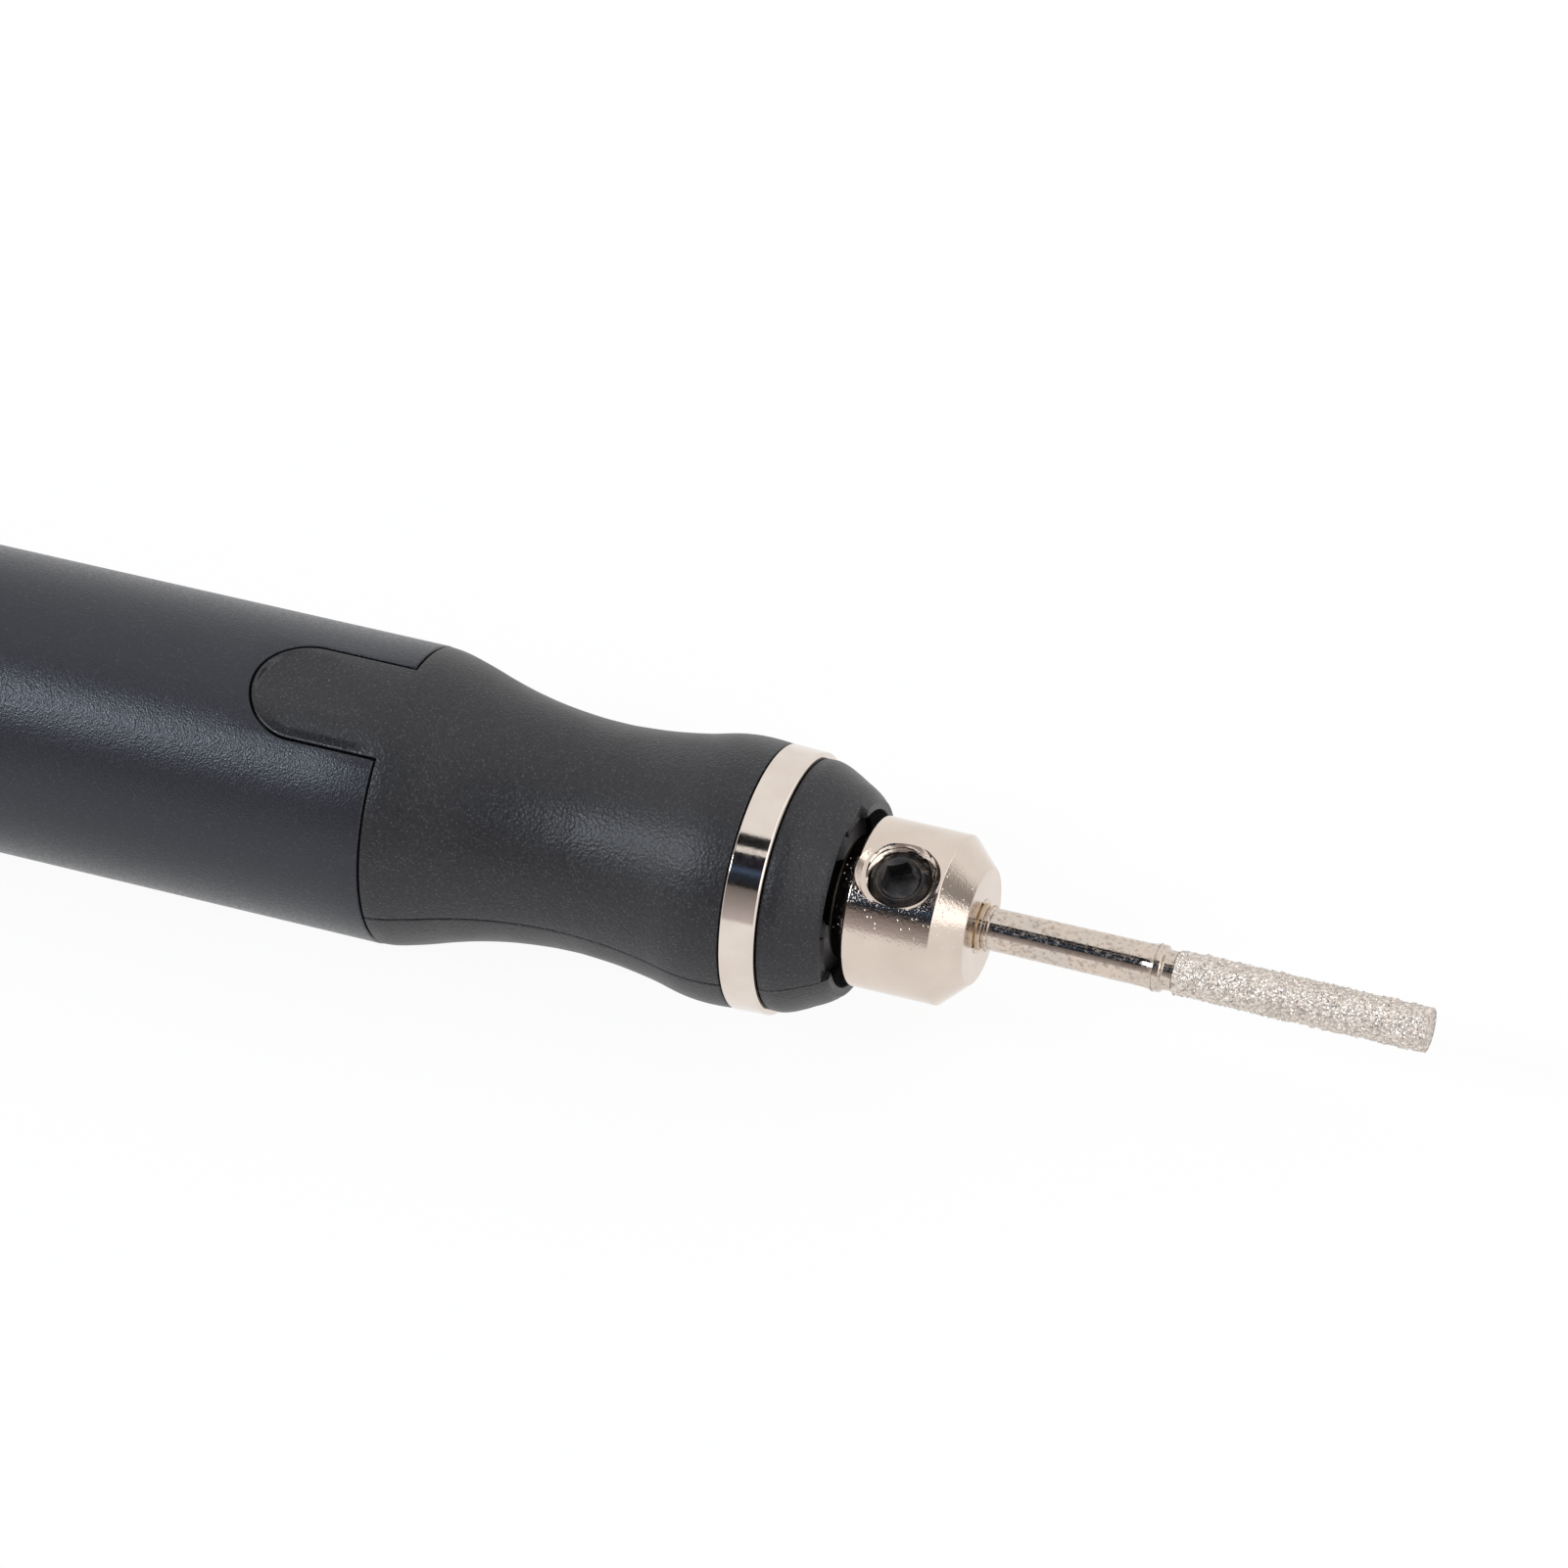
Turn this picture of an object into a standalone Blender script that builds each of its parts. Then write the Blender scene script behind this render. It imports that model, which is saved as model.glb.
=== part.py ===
"""Cordless electric engraving pen that lies on its barrel.

Lengths are in metres with +Z up. The pen's axis runs along X and the bit points to +X. Along that
axis every place is measured from the rear plane of the chrome ring, forward positive. Angles round
the axis are measured from +Z towards +Y, and the upper grip tongue lies at angle zero. The model
stands with its lowest barrel facet on Z = 0 and with its outer box centred on the origin.
"""
import math

import bmesh
import bpy
from mathutils import Matrix, Vector, geometry

MM = 0.001

# Clearances
fit_gap = 0.3 * MM
seam_gap = 0.2 * MM
press_gap = 0.1 * MM
slide_gap = 0.08 * MM
run_gap = 0.05 * MM
solder_gap = 0.15 * MM
cut_overrun = 1.0 * MM
weld_distance = 0.001 * MM

# Sides of round pieces and steps of round corners
barrel_sides = 32
inner_sides = 32
small_sides = 24
pin_sides = 16
corner_steps = 4
smooth_angle = math.radians(35)

# Barrel tube, whose opposite facets lie 16.5 mm apart
barrel_radius = 8.29 * MM
barrel_wall = 0.8 * MM
barrel_edge = 0.15 * MM
barrel_bore = barrel_radius - barrel_wall

# Motor, which the front of the pen is built around
motor_radius = 5.0 * MM
motor_length = 20.0 * MM
motor_wall = 0.5 * MM
motor_edge = 0.12 * MM
motor_bore = motor_radius - motor_wall
shaft_radius = 0.75 * MM

# Grip shells, two like halves that part in the horizontal plane
grip_length = 20.07 * MM
grip_rear_drop = 0.07 * MM
grip_waist_wall = 0.98 * MM
grip_bulge_rise = 0.07 * MM
spigot_length = 13.0 * MM
spigot_wall = 1.15 * MM
rib_width = 1.0 * MM
rib_radius = 4.2 * MM
tongue_length = 8.2 * MM
tongue_half_width = 2.95 * MM
tongue_sink = 0.1 * MM
tongue_root = 0.3 * MM
seat_radius = motor_radius + fit_gap

# The ring's seat, the nose and its mouth
ring_seat_wall = 1.25 * MM
ring_snap = 0.08 * MM
ring_fit = 0.25 * MM
ring_wall = 0.415 * MM
ring_width = 1.91 * MM
ring_taper = 0.045 * MM
ring_edge = 0.12 * MM
ring_gap = 0.1 * MM
nose_length = 3.14 * MM
ear_length = 0.55 * MM
lip_width = 0.89 * MM
lip_overlap = 0.15 * MM
pocket_depth = 0.55 * MM

# Contours of the grip and the nose, as (share of the length, share of the height) pairs
rear_flank_shares = ((0, 1), (0.06, 0.915), (0.12, 0.73), (0.187, 0.517), (0.263, 0.308),
                     (0.353, 0.135), (0.457, 0.023), (0.525, 0))
front_flank_shares = ((0.605, 0.05), (0.665, 0.165), (0.77, 0.483), (0.848, 0.841), (0.926, 1),
                      (1, 0.92))
nose_shares = ((0, 1), (0.095, 1), (0.304, 0.892), (0.454, 0.768), (0.666, 0.576), (0.861, 0.36),
               (0.958, 0.15), (1, 0.02))

# Where the mouth is cut back between the ears, and where its lip is cut away behind
mouth_cut_angles = (math.radians(-95), math.radians(28))
pocket_angles = (math.radians(-60), math.radians(5))

# Drive coupler and its set screw
coupler_gap = 0.24 * MM
coupler_radius = 4.635 * MM
coupler_length = 6.36 * MM
coupler_chamfer = 1.5 * MM
coupler_face_radius = 3.3 * MM
coupler_edge = 0.15 * MM
neck_radius = 3.35 * MM
neck_length = 1.14 * MM
bit_radius = 1.175 * MM
bore_chamfer = 0.3 * MM
screw_radius = 1.95 * MM
screw_length = 2.9 * MM
screw_edge = 0.3 * MM
screw_setback = 2.32 * MM
screw_angle = math.radians(-9.6)
hex_flat = 1.0 * MM
hex_depth = 1.5 * MM

# Bit
bit_depth = 5.25 * MM
bit_reach = 24.6 * MM
head_length = 13.8 * MM
head_radius = 1.24 * MM
head_skin = 0.2 * MM
lip_rise = 0.1 * MM
bit_lip_width = 0.35 * MM
bit_neck_length = 0.5 * MM
bit_neck_drop = 0.1 * MM
bit_end_chamfer = 0.3 * MM

# Inside the motor
bush_radius = 1.7 * MM
bush_length = 2.6 * MM
bush_stand = 0.54 * MM
magnet_inset = 2.3 * MM
magnet_end_gap = 2.7 * MM
magnet_wall = 0.9 * MM
magnet_half_angle = math.radians(55)
air_gap = 0.2 * MM
core_inset = 4.8 * MM
shoe_wall = 0.6 * MM
pole_half_width = 0.6 * MM
hub_radius = 1.5 * MM
pole_count = 3
shoe_half_angle = math.radians(50)
coil_gap = 0.15 * MM
coil_overhang = 0.9 * MM
coil_half_width = 1.2 * MM
commutator_radius = 1.4 * MM
commutator_length = 2.0 * MM
commutator_gap = 1.2 * MM
commutator_stand = 2.0 * MM
commutator_slot = 0.25 * MM
end_cap_plug = 1.0 * MM
end_cap_flange = 1.4 * MM
rear_bush_radius = 1.6 * MM
rear_bush_length = 1.8 * MM
brush_thickness = 0.25 * MM
brush_half_height = 0.6 * MM
brush_wipe = 1.2 * MM
terminal_offset = 3.0 * MM
terminal_length = 1.8 * MM

# Carrier, boards and cell
carrier_wall = 0.9 * MM
carrier_rim_drop = 0.3 * MM
carrier_end = 0.8 * MM
board_thickness = 1.0 * MM
board_top = -1.0 * MM
board_length = 23.0 * MM
board_rib_width = 3.0 * MM
board_rib_radius = 2.2 * MM
cell_length = 44.0 * MM
cell_edge = 0.4 * MM
cell_button_radius = 2.6 * MM
cell_button_height = 0.5 * MM
cell_room = 2.2 * MM
cell_rib_width = 1.6 * MM
cell_rib_height = 0.95 * MM
cell_rib_shares = (0.08, 0.5, 0.92)
tab_thickness = 0.2 * MM
tab_half_width = 1.5 * MM
tab_rise = 2.0 * MM
tab_foot = 1.4 * MM
pad_half_angle = math.radians(28)
pad_length_share = 0.62
charge_board_length = 11.0 * MM
charge_board_top = -1.75 * MM
charge_board_thickness = 0.8 * MM
charge_rib_width = 2.0 * MM

# Parts on the main board
board_screw_radius = 0.7 * MM
board_screw_length = 3.6 * MM
board_screw_head = 1.25 * MM
board_screw_head_height = 0.8 * MM
board_screw_margin = 1.75 * MM
board_screw_slot = 0.3 * MM
board_screw_slot_depth = 0.35 * MM
chip_half_length = 2.5 * MM
chip_half_width = 2.0 * MM
chip_height = 1.4 * MM
chip_inset = 5.2 * MM
switch_half_width = 3.0 * MM
plunger_radius = 1.7 * MM
plunger_socket_depth = 1.5 * MM
plunger_rise = 1.1 * MM
led_half_length = 0.8 * MM
led_half_width = 0.6 * MM
led_height = 0.8 * MM
led_setback = 5.8 * MM

# Power button and light pipe, in line with the upper tongue
button_setback = 13.0 * MM
button_radius = 2.9 * MM
button_stand = 0.5 * MM
button_crown = 0.25 * MM
button_flange_radius = 3.8 * MM
button_flange_height = 0.8 * MM
button_stem_radius = 1.5 * MM
button_stem_length = 1.44 * MM
button_travel = 0.4 * MM
pipe_radius = 1.0 * MM
pipe_flange_radius = 1.6 * MM
pipe_flange_height = 0.6 * MM
pipe_stand = 0.05 * MM

# Charging port and tail cap
port_half_width = 4.47 * MM
port_half_height = 1.6 * MM
port_wall = 0.3 * MM
port_length = 7.3 * MM
port_recess = 0.8 * MM
port_tongue_half_width = 3.35 * MM
port_tongue_half_height = 0.35 * MM
port_tongue_recess = 1.1 * MM
port_base = 1.6 * MM
cap_length = 3.6 * MM
cap_plug_length = 3.5 * MM
cap_plug_wall = 0.9 * MM
cap_back_wall = 1.9 * MM
cap_fillet = 1.2 * MM
charger_half_width = 1.5 * MM
charger_height = 0.9 * MM
charger_inset = 3.4 * MM
charger_margin = 1.5 * MM

# Leads
lead_radius = 0.4 * MM
lead_bevel_steps = 2
lead_spacing = 1.4 * MM
lead_pad_margin = 0.95 * MM
lead_pad_inset = 2.5 * MM
lead_run = 2.0 * MM
lead_angles = (math.radians(75), math.radians(55))
route_steps = 3
route_handle_share = 1 / 3

# Places along the pen, from the rear plane of the ring
shoulder_x = -grip_length
spigot_rear_x = shoulder_x - spigot_length
barrel_front_x = shoulder_x - seam_gap
mouth_x = ring_width + nose_length
ear_tip_x = mouth_x + ear_length
lip_rear_x = mouth_x - lip_width
motor_front_x = lip_rear_x - fit_gap
motor_rear_x = motor_front_x - motor_length
end_cap_front_x = motor_rear_x + end_cap_plug
end_cap_rear_x = motor_rear_x - end_cap_flange
magnet_front_x = motor_front_x - magnet_inset
magnet_rear_x = end_cap_front_x + magnet_end_gap
commutator_rear_x = end_cap_front_x + commutator_stand
commutator_front_x = commutator_rear_x + commutator_length
core_rear_x = commutator_front_x + commutator_gap
core_front_x = motor_front_x - core_inset
rib_front_x = end_cap_rear_x - fit_gap
coupler_rear_x = ear_tip_x + coupler_gap
coupler_front_x = coupler_rear_x + coupler_length
neck_rear_x = coupler_rear_x - neck_length
screw_x = coupler_rear_x + screw_setback
bit_rear_x = coupler_front_x - bit_depth
bit_tip_x = coupler_front_x + bit_reach
head_rear_x = bit_tip_x - head_length
carrier_front_x = spigot_rear_x - fit_gap
board_front_x = carrier_front_x - carrier_end - fit_gap
board_rear_x = board_front_x - board_length
cell_front_x = board_rear_x - cell_room
cell_rear_x = cell_front_x - cell_length
charge_front_x = cell_rear_x - cell_room
charge_rear_x = charge_front_x - charge_board_length
cap_flange_x = charge_rear_x - fit_gap
barrel_rear_x = cap_flange_x + seam_gap
plug_front_x = cap_flange_x + cap_plug_length
tail_x = cap_flange_x - cap_length
carrier_rear_x = plug_front_x + fit_gap
port_mouth_x = tail_x + port_recess
button_x = board_front_x - button_setback
led_x = button_x - led_setback

# Radii that follow from the pieces that carry them
spigot_radius = barrel_bore - fit_gap
spigot_bore = spigot_radius - spigot_wall
waist_radius = seat_radius + grip_waist_wall
ring_seat_radius = seat_radius + ring_seat_wall
ring_bore = ring_seat_radius + ring_fit
ring_radius = ring_bore + ring_wall
bulge_radius = ring_radius + grip_bulge_rise
nose_radius = ring_bore + ring_snap
mouth_radius = motor_radius - lip_overlap
grip_rear_radius = barrel_radius - grip_rear_drop
core_radius = motor_bore - press_gap - magnet_wall - air_gap
carrier_radius = barrel_bore - fit_gap
carrier_bore = carrier_radius - carrier_wall
cell_radius = carrier_bore - cell_rib_height - fit_gap
lead_radius_on_cell = (cell_radius + barrel_bore) / 2


def reach_in_bore(bore, sides, offset):
    """Distance from the middle of a faceted bore to its wall, at an offset across it."""
    return math.sqrt((bore * math.cos(math.pi / sides)) ** 2 - offset ** 2)


# Heights above the pen's axis, and the widths and places of the boards at their heights
clear_bore = reach_in_bore(barrel_bore, barrel_sides, 0)
board_bottom = board_top - board_thickness
board_base = board_top + solder_gap
board_half_width = reach_in_bore(carrier_bore, inner_sides, board_bottom) - fit_gap
board_screw_y = board_half_width - board_screw_margin
board_screw_places = ((board_front_x - board_rib_width / 2, board_screw_y),
                      (board_rear_x + board_rib_width / 2, -board_screw_y))
charge_board_bottom = charge_board_top - charge_board_thickness
charge_board_base = charge_board_top + solder_gap
charge_board_half_width = reach_in_bore(carrier_bore, inner_sides, charge_board_bottom) - fit_gap
button_flange_top = reach_in_bore(barrel_bore, barrel_sides, button_flange_radius) - fit_gap
button_flange_low = button_flange_top - button_flange_height
button_stem_low = button_flange_low - button_stem_length
plunger_top = button_stem_low - press_gap
switch_top = plunger_top - plunger_rise
pipe_flange_top = reach_in_bore(barrel_bore, barrel_sides, pipe_flange_radius) - press_gap
led_top = board_base + led_height

# The pen lies on a barrel facet, and its outer box is centred on the origin
axis_height = barrel_radius * math.cos(math.pi / barrel_sides)
ring_rear_x = -(bit_tip_x + tail_x) / 2

ORIGIN = (0, 0, 0)
UPRIGHT = (0, -math.pi / 2, 0)

for old in list(bpy.data.objects):
    bpy.data.objects.remove(old, do_unlink=True)


def material(name, colour, roughness, metallic=0.0):
    """Give one Principled material."""
    finish = bpy.data.materials.new(name)
    finish.use_nodes = True
    shader = finish.node_tree.nodes["Principled BSDF"]
    shader.inputs["Base Color"].default_value = (*colour, 1.0)
    shader.inputs["Roughness"].default_value = roughness
    shader.inputs["Metallic"].default_value = metallic
    return finish


def datum(name, location, parent=None, rotation=ORIGIN):
    """Add an empty that other pieces hang on."""
    empty = bpy.data.objects.new(name, None)
    empty.parent = parent
    empty.location = location
    empty.rotation_euler = rotation
    bpy.context.collection.objects.link(empty)
    return empty


def piece(bm, name, finish, parent, location=ORIGIN, rotation=ORIGIN):
    """Turn a bmesh into a named object with its own finish."""
    bmesh.ops.recalc_face_normals(bm, faces=bm.faces)
    mesh = bpy.data.meshes.new(name)
    bm.to_mesh(mesh)
    bm.free()
    mesh.shade_smooth()
    mesh.set_sharp_from_angle(angle=smooth_angle)
    if finish is not None:
        mesh.materials.append(finish)
    made = bpy.data.objects.new(name, mesh)
    made.parent = parent
    made.location = location
    made.rotation_euler = rotation
    bpy.context.collection.objects.link(made)
    return made


def cutter(bm, name, parent, location=ORIGIN, rotation=ORIGIN):
    """Make a guide shape that is not part of the pen."""
    guide = piece(bm, name, None, parent, location, rotation)
    guide.hide_render = True
    guide.display_type = "WIRE"
    return guide


def combine(target, guide, operation="DIFFERENCE"):
    """Cut, join or intersect a piece with a guide shape."""
    step = target.modifiers.new(guide.name, "BOOLEAN")
    step.object = guide
    step.operation = operation
    step.solver = "EXACT"


def around(x, radius, angle):
    """Point at an angle round the pen's axis."""
    return (x, radius * math.sin(angle), radius * math.cos(angle))


def turned(outline, sides, closed=True):
    """Turn an outline of (x, radius) points all the way round the X axis.

    An open outline starts and ends on the axis. Its facets face straight up and down.
    """
    bm = bmesh.new()
    start = math.pi / sides
    verts = [bm.verts.new(around(x, radius, start)) for x, radius in outline]
    edges = [bm.edges.new(pair) for pair in zip(verts, verts[1:])]
    if closed:
        edges.append(bm.edges.new((verts[-1], verts[0])))
    bmesh.ops.spin(bm, geom=verts + edges, cent=ORIGIN, axis=(-1, 0, 0), angle=math.tau,
                   steps=sides, use_merge=True)
    bmesh.ops.remove_doubles(bm, verts=bm.verts, dist=weld_distance)
    return bm


def turned_sector(outline, angles, steps):
    """Turn a closed outline of (x, radius) points from one angle to another and close its ends."""
    bm = bmesh.new()
    start, end = angles
    verts = [bm.verts.new(around(x, radius, start)) for x, radius in outline]
    edges = [bm.edges.new(pair) for pair in zip(verts, verts[1:] + verts[:1])]
    bmesh.ops.spin(bm, geom=verts + edges, cent=ORIGIN, axis=(-1, 0, 0), angle=end - start,
                   steps=steps)
    bmesh.ops.holes_fill(bm, edges=[edge for edge in bm.edges if edge.is_boundary])
    return bm


def ring_outline(rear, front, inner, outer):
    """Closed outline of a plain ring."""
    return [(rear, inner), (rear, outer), (front, outer), (front, inner)]


def rod_outline(rear, front, radius, rear_edge=0, front_edge=0):
    """Open outline of a solid rod, with a chamfer at either end where one is given."""
    points = [(rear, 0), (rear, radius - rear_edge)]
    if rear_edge:
        points.append((rear + rear_edge, radius))
    if front_edge:
        points.append((front - front_edge, radius))
    return points + [(front, radius - front_edge), (front, 0)]


def spread(axis, u, v, w):
    """Place outline coordinates u and v and the depth w for an extrusion along an axis."""
    return {"X": (w, u, v), "Y": (u, w, v), "Z": (u, v, w)}[axis]


def prism(outline, axis, low, high):
    """Extrude a closed outline along X, Y or Z."""
    bm = bmesh.new()
    base = bm.faces.new([bm.verts.new(spread(axis, u, v, low)) for u, v in outline])
    grown = bmesh.ops.extrude_face_region(bm, geom=[base])
    moved = [item for item in grown["geom"] if isinstance(item, bmesh.types.BMVert)]
    bmesh.ops.translate(bm, verts=moved, vec=Vector(spread(axis, 0, 0, high - low)))
    return bm


def frame_prism(outer, inner, axis, low, high):
    """Extrude the band between two outlines that have the same number of points."""
    bm = bmesh.new()
    loops = [[bm.verts.new(spread(axis, u, v, depth)) for u, v in outline]
             for outline, depth in ((outer, low), (outer, high), (inner, high), (inner, low))]
    for first, second in zip(loops, loops[1:] + loops[:1]):
        for k in range(len(first)):
            bm.faces.new((first[k - 1], first[k], second[k], second[k - 1]))
    return bm


def rectangle(low_u, high_u, low_v, high_v):
    """Closed outline of a rectangle."""
    return [(low_u, low_v), (high_u, low_v), (high_u, high_v), (low_u, high_v)]


def stadium(half_length, half_height, steps):
    """Closed outline of a flat opening with two round ends."""
    centre = half_length - half_height
    points = []
    for side, start in ((1, -math.pi / 2), (-1, math.pi / 2)):
        for k in range(steps + 1):
            angle = start + math.pi * k / steps
            points.append((side * centre + half_height * math.cos(angle),
                           half_height * math.sin(angle)))
    return points


def open_radius(radius, gap, sides):
    """Corner radius of a faceted bore whose flats clear a round piece by the gap."""
    return (radius + gap) / math.cos(math.pi / sides)


def shares_outline(shares, start, end, low, high):
    """Contour points from shares of a length and of a height."""
    return [(start + u * (end - start), low + v * (high - low)) for u, v in shares]


def smooth_route(points):
    """Points on a smooth curve through the route's own points.

    Each handle is a share of its own stretch, so a short stretch beside a long one doesn't loop.
    """
    places = [Vector(point) for point in points]
    ends = [places[0]] + places + [places[-1]]
    route = []
    for before, start, end, after in zip(ends, ends[1:], ends[2:], ends[3:]):
        handle = (end - start).length * route_handle_share
        leave = start + (end - before).normalized() * handle
        arrive = end - (after - start).normalized() * handle
        route += geometry.interpolate_bezier(start, leave, arrive, end, route_steps + 1)[:-1]
    return route + [places[-1]]


def lead(name, finish, points):
    """Insulated wire along a route."""
    curve = bpy.data.curves.new(name, "CURVE")
    curve.dimensions = "3D"
    curve.bevel_depth = lead_radius
    curve.bevel_resolution = lead_bevel_steps
    curve.use_fill_caps = True
    route = smooth_route(points)
    spline = curve.splines.new("POLY")
    spline.points.add(len(route) - 1)
    for point, place in zip(spline.points, route):
        point.co = (*place, 1)
    curve.materials.append(finish)
    wire = bpy.data.objects.new(name, curve)
    wire.parent = pen_axis
    bpy.context.collection.objects.link(wire)


black_paint = material("black_paint", (0.022, 0.023, 0.026), 0.38, 0.3)
black_plastic = material("black_plastic", (0.019, 0.019, 0.021), 0.62)
chrome = material("chrome", (0.82, 0.78, 0.73), 0.1, 1.0)
nickel = material("nickel", (0.74, 0.7, 0.64), 0.24, 1.0)
black_oxide = material("black_oxide", (0.035, 0.034, 0.036), 0.35, 0.9)
bit_steel = material("bit_steel", (0.66, 0.62, 0.56), 0.22, 1.0)
diamond_grit = material("diamond_grit", (0.62, 0.59, 0.54), 0.5, 0.9)
zinc_steel = material("zinc_steel", (0.62, 0.62, 0.63), 0.3, 1.0)
bronze = material("bronze", (0.55, 0.36, 0.18), 0.4, 1.0)
ferrite = material("ferrite", (0.06, 0.06, 0.065), 0.7)
lamination = material("lamination", (0.35, 0.35, 0.37), 0.45, 1.0)
copper = material("copper", (0.8, 0.4, 0.24), 0.3, 1.0)
ivory_plastic = material("ivory_plastic", (0.78, 0.75, 0.66), 0.5)
circuit_green = material("circuit_green", (0.03, 0.16, 0.07), 0.45)
chip_black = material("chip_black", (0.02, 0.02, 0.02), 0.5)
cell_wrap = material("cell_wrap", (0.05, 0.17, 0.45), 0.35)
foam = material("foam", (0.03, 0.03, 0.03), 0.95)
clear_plastic = material("clear_plastic", (0.85, 0.9, 0.95), 0.15)
red_wire = material("red_wire", (0.6, 0.03, 0.02), 0.45)
black_wire = material("black_wire", (0.02, 0.02, 0.02), 0.45)

pen_axis = datum("pen_axis", (ring_rear_x, 0, axis_height))
spindle_axis = datum("spindle_axis", ORIGIN, pen_axis)
bit_axis = datum("bit_axis", ORIGIN, spindle_axis)
screw_axis = datum("screw_axis", (screw_x, 0, 0), spindle_axis, (-screw_angle, 0, 0))
button_axis = datum("button_axis", (button_x, 0, 0), pen_axis)


def barrel_tube():
    """Drawn tube with a slot for each tongue and holes for the button and the light pipe."""
    tube = piece(turned([(barrel_rear_x, barrel_bore), (barrel_rear_x, barrel_radius - barrel_edge),
                         (barrel_rear_x + barrel_edge, barrel_radius),
                         (barrel_front_x - barrel_edge, barrel_radius),
                         (barrel_front_x, barrel_radius - barrel_edge),
                         (barrel_front_x, barrel_bore)], barrel_sides),
                 "barrel_tube", black_paint, pen_axis)
    slot = prism(tongue_outline(seam_gap), "Z", -barrel_radius - cut_overrun,
                 barrel_radius + cut_overrun)
    combine(tube, cutter(slot, "slot_cutter", pen_axis))
    for name, x, radius in (("button_hole_cutter", button_x, button_radius),
                            ("pipe_hole_cutter", led_x, pipe_radius)):
        hole = turned(rod_outline(0, barrel_radius + cut_overrun,
                                  open_radius(radius, press_gap, small_sides)),
                      small_sides, closed=False)
        combine(tube, cutter(hole, name, pen_axis, (x, 0, 0), UPRIGHT))


def tongue_outline(margin):
    """Outline of a tongue seen from above: straight sides and a half-round tip."""
    half_width = tongue_half_width + margin
    tip_centre = shoulder_x - tongue_length + tongue_half_width
    root_x = shoulder_x + cut_overrun
    points = [(root_x, half_width), (root_x, -half_width)]
    for k in range(2 * corner_steps + 1):
        angle = -math.pi / 2 - math.pi * k / (2 * corner_steps)
        points.append((tip_centre + half_width * math.cos(angle), half_width * math.sin(angle)))
    return points


def shell_outline():
    """Half section of a grip shell: spigot, grip, ring seat, nose, and the motor's seat inside."""
    grip_front_x = -ring_gap
    waist = shares_outline(rear_flank_shares, shoulder_x, grip_front_x, waist_radius,
                           grip_rear_radius)
    bulge = shares_outline(front_flank_shares, shoulder_x, grip_front_x, waist_radius,
                           bulge_radius)
    nose = shares_outline(nose_shares, ring_width + ring_gap, ear_tip_x, mouth_radius, nose_radius)
    return ([(spigot_rear_x, spigot_bore), (spigot_rear_x, spigot_radius),
             (shoulder_x, spigot_radius)] + waist + bulge
            + [(grip_front_x, ring_seat_radius), (ring_width + ring_gap, ring_seat_radius)] + nose
            + [(ear_tip_x, mouth_radius), (lip_rear_x, mouth_radius), (lip_rear_x, seat_radius),
               (rib_front_x, seat_radius), (rib_front_x, rib_radius),
               (rib_front_x - rib_width, rib_radius), (rib_front_x - rib_width, spigot_bore)])


def grip_shell(name, turn):
    """One half of the grip and nose. The second half is the same moulding turned half round."""
    frame = datum(name + "_frame", ORIGIN, pen_axis, (turn, 0, 0))
    quarter = math.pi / 2
    bm = turned_sector(shell_outline(), (-quarter, quarter), barrel_sides // 2)
    for vert in bm.verts:
        if vert.co.z < seam_gap / 2:
            vert.co.z = seam_gap / 2
    shell = piece(bm, name, black_plastic, frame)

    tongue_top = barrel_radius - tongue_sink
    tongue_base = spigot_radius - spigot_wall / 2
    swell = turned_sector(ring_outline(spigot_rear_x, shoulder_x + tongue_root, tongue_base,
                                       tongue_top), (-quarter / 2, quarter / 2), barrel_sides // 4)
    tongue = cutter(swell, name + "_tongue", frame)
    trim = prism(tongue_outline(0), "Z", 0, barrel_radius + cut_overrun)
    combine(tongue, cutter(trim, name + "_tongue_trim", frame), "INTERSECT")
    combine(shell, tongue, "UNION")

    cut_back = turned_sector(ring_outline(mouth_x, ear_tip_x + cut_overrun,
                                          mouth_radius - cut_overrun, nose_radius + cut_overrun),
                             mouth_cut_angles, small_sides)
    combine(shell, cutter(cut_back, name + "_mouth_cutter", frame))
    pocket = turned_sector(ring_outline(lip_rear_x - lip_width / 2, mouth_x + cut_overrun,
                                        mouth_radius - cut_overrun, mouth_radius + pocket_depth),
                           pocket_angles, pin_sides)
    combine(shell, cutter(pocket, name + "_pocket_cutter", frame))


def nose_ring():
    """Thin chrome band that snaps over the nose and holds the two shells together."""
    rear_radius = ring_radius + ring_taper
    front_radius = ring_radius - ring_taper
    piece(turned([(0, ring_bore), (0, rear_radius - ring_edge), (ring_edge, rear_radius),
                  (ring_width - ring_edge, front_radius), (ring_width, front_radius - ring_edge),
                  (ring_width, ring_bore)], barrel_sides), "nose_ring", chrome, pen_axis)


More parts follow.
